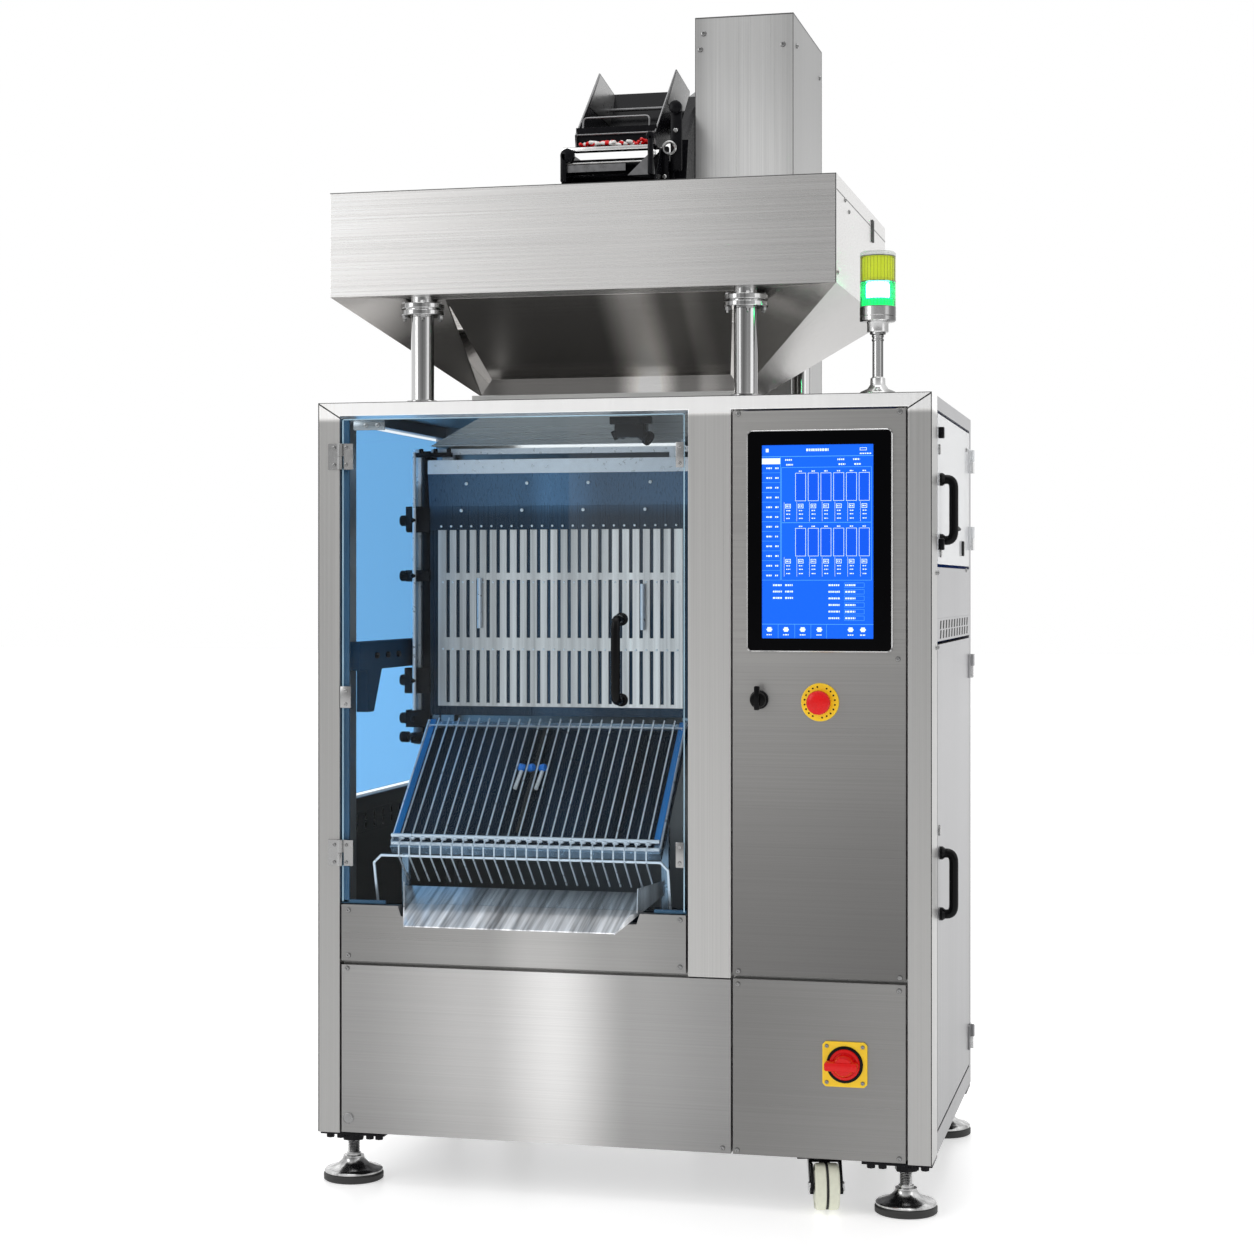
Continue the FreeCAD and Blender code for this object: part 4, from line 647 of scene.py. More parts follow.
def rounded_outline(x, z, radius, steps=6):
    """A rectangle with round corners, as points in turn."""
    outline = []
    for cx, cz, start in ((x[1] - radius, z[1] - radius, 0), (x[0] + radius, z[1] - radius, 90),
                          (x[0] + radius, z[0] + radius, 180), (x[1] - radius, z[0] + radius, 270)):
        for step in range(steps + 1):
            angle = math.radians(start + 90 * step / steps)
            outline.append((cx + radius * math.cos(angle), cz + radius * math.sin(angle)))
    return outline


def picture_frame(shape, x, z, radius, opening, low, high, lip=0.6):
    """A flat frame with round corners between two depths, round an opening (x, z)."""
    outer = rounded_outline(x, z, radius)
    soft = rounded_outline(inset(x, lip), inset(z, lip), radius - lip)
    inner = rounded_outline(*opening, 1)
    shape.skin([[(a, high, b) for a, b in outer], [(a, low + lip, b) for a, b in outer],
                [(a, low, b) for a, b in soft], [(a, low, b) for a, b in inner],
                [(a, high, b) for a, b in inner]], loop=True)


rim, face = Shape(), Shape()
rim_width, face_margin = 1.6, 1.4
rim_inner = (inset(bezel_x, rim_width), inset(bezel_z, rim_width))
picture_frame(rim, bezel_x, bezel_z, 10, rim_inner, bezel_y[0], front_y)
rim.made("bezel_rim", "bright_steel", "bezel", replaced=("screen_bezel",))
page_x, page_z = (236.3, 410.6), (892.8, 1193.6)
picture_frame(face, inset(bezel_x, face_margin), inset(bezel_z, face_margin), 8.6, (page_x, page_z),
              bezel_y[0] - 0.4, front_y)
face.made("bezel_face", "bezel_black", "bezel")

stop_at = spot(327, 0, 794)
turned("stop_head", "red_plastic", "red_plastic",
       [(10.5, 3), (10.5, 9), (16.5, 12), (18.9, 15.5), (18.9, 19.5), (17.6, 23.5), (14, 26), (8, 27.2),
        (0.5, 27.7)], stop_at, FORWARD, 40, body="stop_button", replaced=("stop_button",))
stop_marks = Shape()
plate_face, marks_radius, mark_gaps = front_y - 4, 24, (4, 14)
for index, (x, z) in enumerate(circle((stop_at[0], stop_at[2]), marks_radius, 20, 9)):
    if index not in mark_gaps:
        stop_marks.lathe([(1.5, 0), (1.5, 0.15)], (x, plate_face, z), FORWARD, 8)
stop_marks.made("stop_marks", "black_plastic", "black_plastic")

selector_at = spot(231, 0, 797)
turned("selector_ring", "black_metal", "black_metal", [(14.9, 0), (14.9, 1.6), (13.2, 2.9)],
       selector_at, FORWARD, 32, replaced=("selector_collar",))
key_cap = Shape()
key_cap.lathe([(12.6, 3.4), (12.6, 14), (11.4, 16.5), (10, 17)], selector_at, FORWARD, 28)
key_cap.box((226.8, 235.2), deep(-25, -16), (781.5, 819), 1.8)
key_cap.made("selector_cap", "black_plastic", "black_plastic", "selector_key", replaced=("selector_key",))

switch_at = spot(366, 0, 234)
disc = Shape()
disc.lathe([(24, 4.2), (24, 7), (23, 9), (19.5, 9.6), (18.5, 8.4), (3, 8.4)], switch_at, FORWARD, 40)
disc.box((337, 388.5), deep(-29.5, -8.2), (227, 241), 3.4)
disc.lathe([(17, 8.3), (16, 22), (13, 26.5), (4, 27)], switch_at, FORWARD, 32)
disc.made("switch_grip", "red_plastic", "red_plastic", "main_switch", replaced=("main_switch_handle",))
turned("switch_ring", "black_plastic", "black_plastic", [(28.6, 3.8), (28.6, 5.4), (24.6, 6)],
       switch_at, FORWARD, 40)
switch_marks = Shape()
for x in (-28, 28):
    for z in (-28, 28):
        switch_marks.screw((switch_at[0] + x, plate_face, switch_at[2] + z), FORWARD, 3.2, 1.6)
switch_marks.made("switch_screws", "screw_steel", "zinc")


# Signal lamp

lamp_at = spot(409, 60, 0)
stand = Shape()
stand.lathe([(29.5, 1273), (29.5, 1276), (27, 1279), (16.5, 1283.5), (12, 1290),
             (11.5, 1300), (9, 1302)], lamp_at, UP, 40)
stand.lathe([(16, 1372), (16.8, 1373), (16.8, 1385), (17.5, 1387.5), (26.5, 1388.4), (28.3, 1390),
             (28.3, 1396), (27.6, 1396.8), (28.3, 1397.6), (28.3, 1410.7)], lamp_at, UP, 40)
turned("lamp_pole", "pole_steel", "zinc",
       [(8.5, 1301), (8.5, 1358), (9.6, 1359), (9.6, 1361), (8.6, 1362), (8.6, 1364), (9.6, 1365),
        (9.6, 1367), (8.8, 1368), (12.5, 1369), (12.5, 1372.4)], lamp_at, UP, 32)
stand.made("lamp_base", "stand_steel", "zinc", replaced=("lamp_stand",))
for lens, shell_look, core_look, core_radius in (("lamp_lens_green", "green_shell", "core_hot", 18.5),
                                                 ("lamp_lens_yellow", "yellow_shell", "core_yellow", 25)):
    low, high = span(lens)[2]
    slot = "green_lens" if "green" in lens else "yellow_lens"
    profile = []
    height = low + 0.4
    ridge_pitch = 3.6
    while height < high - 3:
        profile += [(27.9, height), (27.9, height + 2.6), (27.2, height + 3.2)]
        height += ridge_pitch
    turned(lens + "_shell", shell_look, slot, profile + [(27.6, high - 0.4)], lamp_at, UP, 40,
           replaced=(lens,), smooth=60)
    start = low + (13 if "green" in lens else 2)
    turned(lens + "_core", core_look, slot,
           [(core_radius - 3, start), (core_radius, start + 4), (core_radius, high - 4),
            (core_radius - 2, high - 1)], lamp_at, UP, 24)
turned("lamp_glow", "core_green", "green_lens", [(25.5, 1412.5), (25.5, 1422), (23, 1424.5)],
       lamp_at, UP, 24)
joints = Shape()
for height in (1411.3, 1450.9, 1490.8):
    joints.lathe([(27.9, height - 0.7), (28.15, height - 0.5), (28.15, height + 0.5), (27.9, height + 0.7)],
                 lamp_at, UP, 40)
rib_circle, rib_count = 26.6, 30
for place in circle(lamp_at, rib_circle, rib_count):
    joints.tube([(*place, 1413), (*place, 1489)], 0.32, 4)
joints.made("lens_ribs", "grey_steel", "black_metal")
turned("lamp_cap", "clear_shell", "clear_glass",
       [(27.6, 1491.2), (28.1, 1492), (28.1, 1495.5), (26, 1498), (12, 1498.9)], lamp_at, UP, 40)


# Hopper pillars, flanges and bolts

pillars, bolts = Shape(), Shape()
bolt_circle = 28.5
for x in (-333, 203):
    for y in deep(36, 564):
        pillars.lathe([(26, 1273.1), (26, 1276), (19.2, 1277.5), (18.8, 1279), (18.8, 1413.5)],
                      (x, y, 0), UP, 40)
        pillars.lathe([(34.4, 1414.5), (35.4, 1415.6), (35.4, 1421.6), (34.6, 1422.6)], (x, y, 0), UP, 44)
        pillars.lathe([(29, 1422.4), (29, 1425.6)], (x, y, 0), UP, 40)
        pillars.lathe([(34.6, 1425.4), (35.4, 1426.4), (35.4, 1432.6), (34.4, 1433.6)], (x, y, 0), UP, 44)
        pillars.lathe([(18.8, 1412), (18.8, 1445.9)], (x, y, 0), UP, 40)
        for place in circle((x, y), bolt_circle, 4, 20):
            bolts.lathe([(4.2, 1409.6), (4.7, 1410.4), (4.7, 1414.6)], (*place, 0), UP, 6)
            bolts.lathe([(2.6, 1405.5), (2.6, 1410)], (*place, 0), UP, 8)
            bolts.lathe([(4.7, 1433.4), (4.7, 1437), (3.9, 1438)], (*place, 0), UP, 6)
pillars.made("pillars_turned", "pillar_steel", "zinc", replaced=("hopper_pillars",))
bolts.made("pillar_bolts", "screw_steel", "zinc")

base_screws = Shape()
for x in (-282, -176, -70, 60, 152):
    base_screws.screw((x, span("hopper_neck")[1][0] + 0.2, 1286), FORWARD, 3.6)
base_screws.made("base_screws", "screw_steel", "zinc")


# Hinge screws and seams of the front, and painted shade lines along the folds

for name, x, body in (("hinge_screws_fixed", -471, "cabinet"),
                      ("hinge_screws_moving", -450.5, "front_door")):
    heads = Shape()
    for z in (1200, 1172, 553, 525):
        heads.screw(spot(x, -3, z), FORWARD, 3.1, 1.6)
    heads.made(name, "screw_steel", "zinc", body)

catches = Shape()
for z in (1181, 551):
    catches.box((98, 111), deep(-2.4, 0), (z - 20, z + 20), 0.6)
    for shift in (-13, 13):
        catches.screw(spot(104.5, -2.4, z + shift), FORWARD, 3.4, 1.6)
catches.box((-461.5, -443), deep(-2.4, 0), (776, 811), 0.6)
for shift in (-11, 11):
    catches.screw(spot(-452, -2.4, 793 + shift), FORWARD, 3.2, 1.6)
catches.box((-442, -388), deep(7, 10), (1228, 1244), 0.8)
for x in (-420, -400):
    catches.screw(spot(x, 7, 1236), FORWARD, 4, 2)
catches.made("door_catches", "hinge_steel", "zinc", "front_door")

rims = Shape()
rim_y = (door_y[0] - 0.3, door_y[0] + 0.2)
for x in (door_x[0], door_x[1] - rim_width):
    rims.box((x, x + rim_width), rim_y, door_z)
rims.box(door_x, rim_y, (door_z[1] - rim_width, door_z[1]))
rims.made("glass_rims", "glass_edge", "clear_glass", "front_door")
seal = Shape()
seal.box((-462.8, -449), deep(7, 12), (458, 1247), 0.8)
seal.box((-462.8, tray_x[0] - 3), deep(7, 12), (457, 463), 0.8)
seal.box((tray_x[1] + 3, 113), deep(7, 12), (457, 463), 0.8)
seal.made("door_seal", "navy_strip", "lining_steel")

# Dark mitre joints at the frame's top corners, and painted shade lines along the front's folded top and side
# edges.
mitres_and_fold_shade = Shape()
for side in (-1, 1):
    a, b = side * 499.4, side * 461.5
    mitres_and_fold_shade.slab([(a, 1272.8), (b - side * 1.4, 1247.6), (b + side * 1.4, 1247), (a + side * 0.5, 1270.6)],
                *deep(-0.25, 0.2), "y")
mitres_and_fold_shade.box((-500, 500), deep(-0.15, 0.2), (1272.1, 1273))
for side in (-1, 1):
    mitres_and_fold_shade.box((side * 498.6, side * 500), deep(-0.15, 0.2), (84, 1272))
mitres_and_fold_shade.made("mitre_and_fold_shade_lines", "seam_and_shade_dark", "frame_steel")

edges = Shape()
skin_x = (column_right - 0.2, column_right + 0.2)
skin_y = (column_front - 0.2, column_front + 0.3)
column_low = 1300
for x in (column_left, column_right - 1.2):
    edges.box((x, x + 1.2), skin_y, (column_low, column_top - 1))
edges.box((column_left, column_right), skin_y, (column_top - 2.4, column_top))
column_back = column_front + column_depth
edges.box(skin_x, (column_front, column_back), (column_top - 2.2, column_top - 0.1))
edges.box(skin_x, (column_back - 2, column_back), (column_low, column_top - 1))
fold_y = (band_y[0] - 0.15, band_y[0] + 0.3)
edges.box(band_x, fold_y, (band_z[1] - 1.4, band_z[1]))
edges.box((band_x[1] - 1.6, band_x[1]), fold_y, band_z)
edges.box((band_x[1] - 0.2, band_x[1] + 0.25), (band_y[0] + 4, band_y[1]), (1590.6, 1592))
for y in deep(414, 426):
    edges.box((band_x[1], band_x[1] + 3), (y - 2, y + 2), (1566, 1604), 0.8)
edges.made("fold_shadows", "edge_shadow", "tower_steel")


# Chamber: knobs, bars, pins and rivets of the guide

rod_y = front_y + 275
clamp_x = span("clamp_blocks")[0]
knobs, pins, dots = Shape(), Shape(), Shape()
for z in (1088, 992, 811, 745, 712):
    knobs.lathe([(9.5, 0), (9.5, 13), (8, 15), (3, 15.5)], (clamp_x[0] - 0.5, rod_y, z), LEFT, 18)
    knobs.lathe([(5, 0), (5, 12), (3, 14)], (clamp_x[0] + 17, rod_y - 20, z), FORWARD, 14)
    knobs.lathe([(9.5, 0), (9.5, 4), (8, 5.5)], (clamp_x[1] - 17, rod_y - 20, z), FORWARD, 18)
knobs.made("clamp_knobs", "black_plastic", "black_plastic")
for x, low, high in ((-301.7, 902, 988), (-14, 900, 978)):
    pins.tube([(x, guide_y[0] - 6, low), (x, guide_y[0] - 6, high)], 4.2, 14)
    for z in (low + 8, high - 8):
        pins.tube([(x, guide_y[0] - 6, z), (x, guide_y[0] + 0.5, z)], 2.2, 8)
pins.tube([(-418, rod_y - 30, 1205), (-418, rod_y - 30, 760)], 3.2, 10)
for x in inset(slide_x, 1.5):
    pins.tube([spot(x, 237, 744), spot(x, 40, 556)], 2.2, 8)
for z in (566.5, 553.5):
    pins.tube([(slide_x[0] + 2, slide_y[0] + 3.6, z), (slide_x[1] - 2, slide_y[0] + 3.6, z)], 3.4, 12)
pins.made("guide_pins", "wire_steel", "zinc")
for lane, x in enumerate(lane_xs):
    if lane % 6 == 2:
        for shift, z in ((0, 1104), (9, 1150)):
            dots.lathe([(2.9, -0.2), (2.9, 0.8), (1.6, 1.5)], (x + shift, housing_front, z), FORWARD, 10)
    dots.lathe([(2, -0.2), (2, 0.6), (1.2, 1.1)], (x, housing_front, 1077), FORWARD, 8)
    for z in (866, 981):
        dots.lathe([(1.9, -0.2), (1.9, 0.6), (1.2, 1.1)], (x, guide_y[0], z), FORWARD, 8)
dots.made("guide_dots", "dot_white", "guide_steel")

post = Shape()
post.box((-411, -394), (rod_y - 8, rod_y + 24), (700, 1208), 1)
for z, tall, out in ((1088, 42, 40), (992, 18, 36), (811, 44, 46), (745, 20, 26), (712, 18, 26)):
    post.box((-412 - out * 0.55, -392), (rod_y - 26, rod_y - 4), (z - tall / 2, z + tall / 2), 1.5)
post.box((-414, -350), (rod_y - 34, rod_y - 22), (1196, 1204), 1)
for x in (-406, -380, -356):
    post.lathe([(4, 0), (4, 7), (2.5, 8)], (x, rod_y - 28, 1203), UP, 12)
for x, z in ((88, 1090), (88, 820), (96, 735), (92, 560)):
    post.box((x - 8, x + 12), (rod_y - 40, rod_y - 20), (z - 12, z + 12), 2)
    post.lathe([(7, 0), (7, 12), (5, 14)], (x, rod_y - 40, z), FORWARD, 16)
post.made("chamber_post", "black_metal", "black_metal")

sensor = Shape()
sensor.box((-30, 20), deep(110, 150), (1217, 1250.5), 4)
sensor.lathe([(12, 0), (12, 20), (8, 26), (8, 34)], spot(-5, 130, 1234), (-0.9, -0.15, -0.42), 18)
sensor.lathe([(9, 0), (9, 16), (12, 18), (12, 24)], spot(8, 128, 1226), (0.8, -0.3, -0.5), 18)
sensor.box((-36, 34), deep(104, 116), (1238, 1250.5), 1.5)
sensor.made("ceiling_sensor", "black_metal", "black_metal")

beam_bolts = Shape()
for y in (120, 175, 230):
    beam_bolts.lathe([(5.5, 0), (5.5, 4), (4.2, 5.5)], spot(-443, y, 858), RIGHT, 12)
for x in (-455, -430, -405):
    beam_bolts.lathe([(5, 0), (5, 3.5), (4, 4.6)], spot(x, 315, 858), FORWARD, 12)
beam_bolts.made("beam_bolts", "black_metal", "zinc")

clips, clip_ends, gap = Shape(), Shape(), Shape()


def on_bed(x, y, lift):
    """A point over the slide's bed, at a depth behind the front and a height over the sheet."""
    bed_low, bed_front, bed_slope = 548, 34, 194 / 212
    return Vector((x, front_y + y, bed_low + (y - bed_front) * bed_slope + lift))


for x, side in ((-200, -1), (-184, 1), (-164, 1)):
    clips.lathe([(5.5, -5), (6.5, -3.5), (6.5, 4), (5, 6)], on_bed(x, 159, 9), (side, -0.4, 0.3), 16)
for x in (-200, -164):
    clip_ends.tube([on_bed(x, 157, 6), on_bed(x - 3, 128, 5)], 3.2, 10)
# Painted dark reflection: a dark streak along the middle of the slide's bed.
gap.skin([[on_bed(-178 + a, y, lift) for a, lift in ((-5, 1.2), (5, 1.2), (5, 2.4), (-5, 2.4))]
          for y in (236, 60)])
strips = Shape()
for x in inset(slide_x, 8):
    section = ((-5, 6), (5, 6), (5, 9), (-5, 9))
    strips.skin([[on_bed(x + a, y, lift) for a, lift in section] for y in (240, 46)])
strips.made("slide_strips", "azure_strip", "lining_steel")
clips.made("slide_clips", "blue_plastic", "screen")
clip_ends.made("slide_clip_arms", "white_plastic", "lamp_white")
gap.made("bed_painted_dark_streak", "seam_and_shade_dark", "black_metal")


# Wire beads on the slide's lower bar

beads = Shape()
for x in lane_xs:
    beads.lathe([(3.2, 0), (5, 1.2), (5, 5), (3.2, 6.2)], (x, slide_y[0] + 2.5, 560), UP, 10)
beads.made("wire_beads", "wire_steel", "zinc")


# Bucket: light cheeks, wire rail and capsules

# The cheeks' look paints them near black below 1.86 m, as shade.
cheeks, rails = Shape(), Shape()
tips = [(front_y + depth, z) for depth, z in ((640, 1868), (719, 1945), (836, 1927.5), (800, 1862))]
for low, high in ((bucket_left + 2.1, bucket_left + 2.9), (-58, -57.2)):
    cheeks.slab(tips, low, high, "x")
cheeks.made("bucket_cheeks", "cheek_steel", "zinc", "bucket")
for x in (-207.6, -59.4):
    rails.tube([spot(x, 545, 1767), spot(x, 541, 1797), spot(x, 719, 1946.2), spot(x, 836, 1928)], 1.6, 8)
rails.tube([spot(-206, 796, 1892), spot(-61, 796, 1892)], 3.4, 10)
rails.tube([spot(-206, 541, 1797.5), spot(-61, 541, 1797.5)], 1.6, 8)
rails.tube(rounded([spot(-196, 549, 1811), spot(-196, 552, 1830),
                    spot(-72, 552, 1830), spot(-72, 549, 1811)], 8, 4), 1.6, 10)
rails.made("bucket_rails", "grey_steel", "zinc", "bucket")
capsules = {"red": Shape(), "white": Shape()}
for index in range(58):
    x = random.uniform(-188, -70)
    y = random.uniform(508, 540)
    z = 1771.5 + random.uniform(0, 6)
    yaw, tilt = random.uniform(0, math.pi), random.uniform(-0.4, 0.4)
    run = (math.cos(yaw) * math.cos(tilt), math.sin(yaw) * math.cos(tilt), math.sin(tilt))
    half = [(1.2, 0), (2.9, 1.2), (3.4, 3.2), (3.4, 8.5)]
    for sign, colour in ((1, "red" if index % 3 else "white"), (-1, "white" if index % 2 else "red")):
        capsules[colour].lathe([(r, 8.5 - d) for r, d in half][::-1], spot(x, y, z),
                               tuple(c * sign for c in run), 10)
capsules["red"].made("capsules_red", "red_plastic", "red_plastic")
capsules["white"].made("capsules_white", "white_plastic", "lamp_white")

ledge = Shape()
ledge.box((-222, -50), deep(500, 545), (1765.5, 1767.8), 0.4)
ledge.box((-224, -212), deep(490, 500), (1704, 1758), 3)
ledge.lathe([(13, 0), (13, 8), (10, 10)], spot(-211, 500, 1752), FORWARD, 24)
ledge.box((-62, -52), deep(490, 500), (1712, 1784), 3)
ledge.lathe([(8, 0), (8, 8), (6, 10)], spot(-57, 500, 1782), FORWARD, 20)
ledge.box((-50, -36), deep(548, 560), (1700, 1772), 3)
ledge.box((-34, -12), deep(552, 560), (1726, 1850), 4)
ledge.lathe([(12, 0), (12, 7), (9, 9)], spot(-23, 553, 1842), FORWARD, 24)
ledge.made("chute_ledge", "black_metal", "black_metal")
ring = Shape()
ring_points = circle((-34, 1768), 11, 24)
ring.tube([spot(x, 547, z) for x, z in ring_points + ring_points[:1]], 3, 8)
for x, depth, z in ((-23, 552, 1842), (-23, 552, 1800), (-43, 548, 1716)):
    ring.lathe([(4.2, 0), (4.2, 3.4), (3, 4.4)], spot(x, depth, z), FORWARD, 14)
ring.made("arm_ring", "hinge_steel", "zinc")
flap = Shape()
for outline in ([(-100, 1713), (-54, 1757), (-49, 1713)],
                [(-222, 1722), (-104, 1722), (-104, 1735), (-222, 1735)]):
    flap.slab(outline, *deep(497.6, 498.4), "y")
flap.made("chute_flap", "grey_steel", "black_metal")
chute_trims = Shape()
chute_trims.box((-222, -60), deep(498.5, 500.5), (1760, 1767), 0.5)
chute_trims.tube([spot(-220, 500, 1738), spot(-52, 500, 1738)], 2.2, 10)
chute_trims.lathe([(7, 0), (7, 5), (4, 7)], spot(-56, 505, 1752), FORWARD, 18)
chute_trims.made("chute_trims", "bright_steel", "zinc")


# Right side: locks, catches, vent slots painted dark as shade, and the latch

side_trims, side_black = Shape(), Shape()
for y, z in ((104, 589), (104, 1190), (122, 1028)):
    side_trims.lathe([(8.5, -0.2), (8.5, 1.6), (7.4, 2.6), (2, 2.9)], spot(cabinet_right, y, z),
                     RIGHT, 20)
side_trims.made("side_locks", "screw_steel", "zinc")
for y, z in ((100, 1216), (100, 1040)):
    side_black.box((cabinet_right, cabinet_right + 9), deep(y - 6, y + 6), (z - 9, z + 9), 1.5)
side_black.made("side_catches", "black_metal", "black_metal")

slot_shade_and_latch = Shape()
vent_start, vent_pitch, vent_count = 80, 44, 11
# Painted shade: slanted dark slabs over the vent slots, where their insides are in shade; the latch and its
# catch are black parts.
for z in (897.4, 912.6):
    for index in range(vent_count):
        y = front_y + vent_start + (index + 1) * vent_pitch
        slot_shade_and_latch.slab([(y - 6, z - 6.6), (y + 11, z - 6.6), (y + 17, z + 6.6), (y, z + 6.6)], 500.2, 499.6, "x")
latch = [spot(cabinet_right + out, y, z) for out, y, z in ((-0.5, 330, 1074), (5, 336, 1074),
                                                           (5, 392, 1070), (-0.5, 398, 1070))]
slot_shade_and_latch.tube(rounded(latch, 4, 4), 2.4, 8)
slot_shade_and_latch.box((cabinet_right, cabinet_right + 4), deep(470, 482), (1026, 1052), 1.5)
slot_shade_and_latch.made("vent_shade_and_latch", "seam_and_shade_dark", "black_metal")


# Screen: a page of plain bars, boxes and rows

page_w, page_h = page_x[1] - page_x[0], page_z[1] - page_z[0]
page_y = span("screen_glass")[1][0]
bar_y = (page_y - 0.25, page_y + 0.05)
marks, pale, navy = Shape(), Shape(), Shape()


def on_screen(shape, left, top, right, bottom):
    """A thin bar at fractions of the page, measured from its top left corner."""
    shape.box((page_x[0] + left * page_w, page_x[0] + right * page_w), bar_y,
              (page_z[1] - bottom * page_h, page_z[1] - top * page_h))


def page_frame(shape, left, top, right, bottom, line=0.0022):
    """Four thin bars round a part of the page."""
    on_screen(shape, left, top, right, top + line)
    on_screen(shape, left, bottom - line, right, bottom)
    on_screen(shape, left, top, left + line * 1.7, bottom)
    on_screen(shape, right - line * 1.7, top, right, bottom)


def words(left, top, width, height):
    """A row of short dashes where the real page has small print."""
    shortest, longest, gap = 0.008, 0.02, 0.006
    place = left
    while place < left + width:
        long = random.uniform(shortest, longest)
        on_screen(marks, place, top, min(place + long, left + width), top + height)
        place += long + gap


on_screen(marks, 0.035, 0.018, 0.06, 0.036)
words(0.4, 0.02, 0.2, 0.013)
page_frame(marks, 0.88, 0.018, 0.94, 0.032)
words(0.88, 0.045, 0.1, 0.006)
on_screen(pale, 0, 0.058, 1, 0.061)
on_screen(marks, 0, 0.068, 0.165, 0.098)
menu_top, menu_pitch = 0.115, 0.0505
for row in range(12):
    top = menu_top + row * menu_pitch
    words(0.04, top, 0.05, 0.008)
    words(0.12, top, 0.03, 0.008)
    on_screen(pale, 0, top + 0.027, 0.165, top + 0.0285)
on_screen(pale, 0.165, 0.061, 0.169, 0.7)
for left in (0.21, 0.68, 0.82):
    words(left, 0.073, 0.06, 0.008)
    words(left + 0.01, 0.098, 0.06, 0.008)
page_frame(pale, 0.175, 0.115, 0.985, 0.7)
on_screen(pale, 0.175, 0.4, 0.985, 0.403)
for group in (0.145, 0.43):
    for index in range(7):
        left = 0.19 + index * 0.114
        if index:
            words(left + 0.03, group - 0.012, 0.03, 0.006)
            page_frame(marks, left - 0.002, group, left + 0.092, group + 0.145, 0.0018)
            on_screen(navy, left + 0.006, group + 0.005, left + 0.084, group + 0.14)
        on_screen(marks, left + 0.01, group + 0.15, left + 0.012, group + 0.25)
        page_frame(marks, left + 0.022, group + 0.16, left + 0.07, group + 0.182, 0.0025)
        words(left + 0.03, group + 0.168, 0.03, 0.006)
        for line in (0.192, 0.21, 0.232):
            words(left + 0.03, group + line, 0.035, 0.005)
for row in range(3):
    words(0.1, 0.72 + row * 0.033, 0.08, 0.009)
    words(0.21, 0.72 + row * 0.033, 0.07, 0.009)
for row in range(6):
    top = 0.72 + row * 0.034
    words(0.6, top, 0.1, 0.009)
    words(0.75, top, 0.09, 0.009)
    page_frame(pale, 0.74, top - 0.008, 0.92, top + 0.017, 0.0016)
on_screen(pale, 0, 0.925, 1, 0.9275)
for left in (0.04, 0.19, 0.34, 0.49, 0.77, 0.88):
    on_screen(marks, left + 0.01, 0.942, left + 0.045, 0.965)
    on_screen(marks, left + 0.002, 0.95, left + 0.053, 0.958)
    words(left + 0.002, 0.978, 0.05, 0.006)
for left in (0.145, 0.295, 0.44, 0.58):
    on_screen(pale, left, 0.9275, left + 0.003, 0.998)
marks.made("screen_marks", "screen_white", "screen")
pale.made("screen_lines", "screen_pale", "screen")
navy.made("screen_columns", "screen_navy", "screen")


# Floor, light and camera

def soft_lamp(name, at, target, size, power):
    """A rectangular light that looks at a point."""
    data = bpy.data.lights.new(name, "AREA")
    data.shape = "RECTANGLE"
    data.size, data.size_y = size
    data.energy = power
    light = added(name, data)
    light.location = at
    light.rotation_euler = (Vector(target) - Vector(at)).to_track_quat("-Z", "Y").to_euler()


soft_lamp("key_left", (-3.2, -3.4, 2.8), (0, 0, 0.9), (1.6, 2.6), 34)
soft_lamp("fill_right", (3.6, -1.6, 2.2), (0.2, 0, 0.9), (1.6, 2.4), 12)
soft_lamp("top_soft", (0.2, -0.6, 4.6), (0, 0, 0), (3, 3), 45)

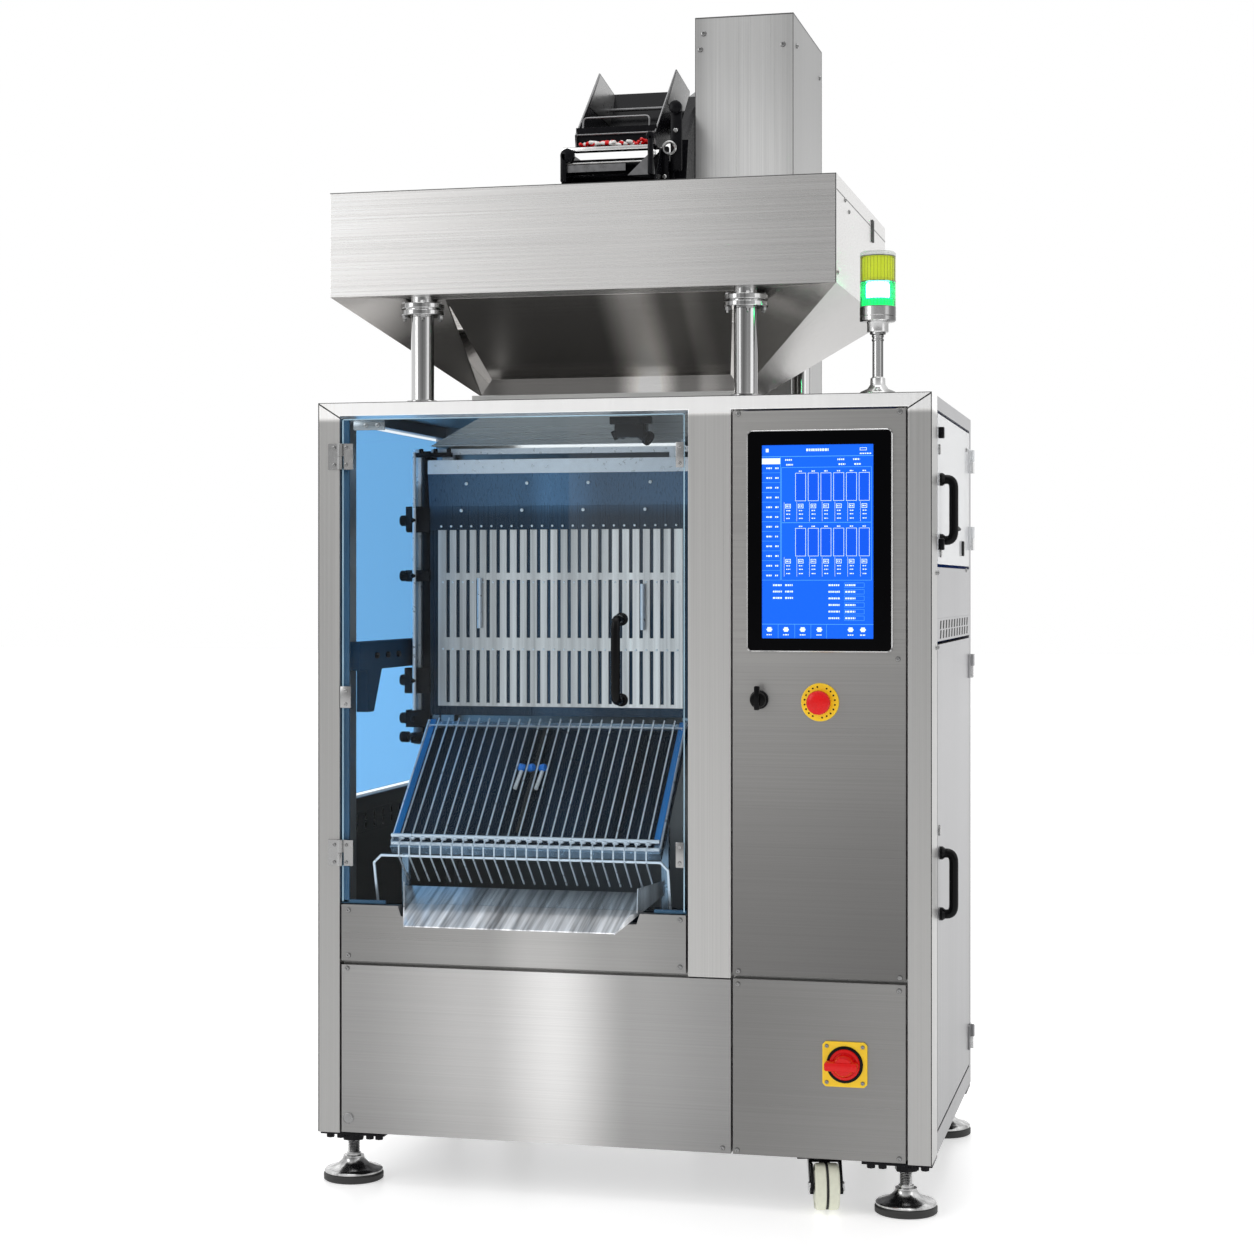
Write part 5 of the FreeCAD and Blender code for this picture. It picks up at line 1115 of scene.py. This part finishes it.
floor_mesh = bpy.data.meshes.new("floor")
reach, floor_z = 30, -0.0005
corners = [(x * reach, y * reach, floor_z) for x, y in ((-1, -1), (1, -1), (1, 1), (-1, 1))]
floor_mesh.from_pydata(corners, [], [(0, 1, 2, 3)])
floor = added("floor", floor_mesh)
floor_shader = new_look("floor_look").nodes["Principled BSDF"]
floor_shader.inputs["Base Color"].default_value = (0.84, 0.84, 0.84, 1)
floor_shader.inputs["Roughness"].default_value = 0.35
floor_shader.inputs["Emission Color"].default_value = (1, 1, 1, 1)
floor_shader.inputs["Emission Strength"].default_value = 0.49
floor_mesh.materials.append(looks["floor_look"])

world = bpy.data.worlds.new("studio")
bpy.context.scene.world = world
world.use_nodes = True
sky = world.node_tree
sky_light = sky.nodes["Background"]
direction = node(sky, "TexCoord").outputs["Generated"]
parts = node(sky, "SeparateXYZ", (direction,)).outputs
to_front = ranged(sky, parts["Y"], -0.98, 0.1, 0.42, 1, "SMOOTHSTEP")
to_left = ranged(sky, parts["X"], -0.5, -0.1, 0.22, 0, "SMOOTHSTEP")
to_top = ranged(sky, parts["Z"], 0.1, 0.7, 0, 0.3, "SMOOTHSTEP")
around = maths(sky, "ADD", maths(sky, "ADD", to_front, to_left), to_top)
rays = node(sky, "LightPath").outputs
seen = maths(sky, "MAXIMUM", rays["Is Camera Ray"], rays["Is Transmission Ray"])
reflected = maths(sky, "MULTIPLY", rays["Is Glossy Ray"], around)
soft_light = maths(sky, "MULTIPLY", maths(sky, "SUBTRACT", 1, rays["Is Glossy Ray"]), 0.55)
strength = maths(sky, "MAXIMUM", seen, maths(sky, "ADD", reflected, soft_light))
sky.links.new(strength, sky_light.inputs["Strength"])
sky_light.inputs["Color"].default_value = (1, 1, 1, 1)

camera_data = bpy.data.cameras.new("camera")
camera = added("camera", camera_data)
camera_data.lens = 68.18
camera_data.sensor_width = 36
camera_data.shift_y = -0.0325
camera.location = (0.898, -4.1225, 0.974)
camera.rotation_euler = (math.radians(90), 0, math.radians(13.53))
bpy.context.scene.camera = camera
bpy.context.scene.view_settings.view_transform = "Standard"
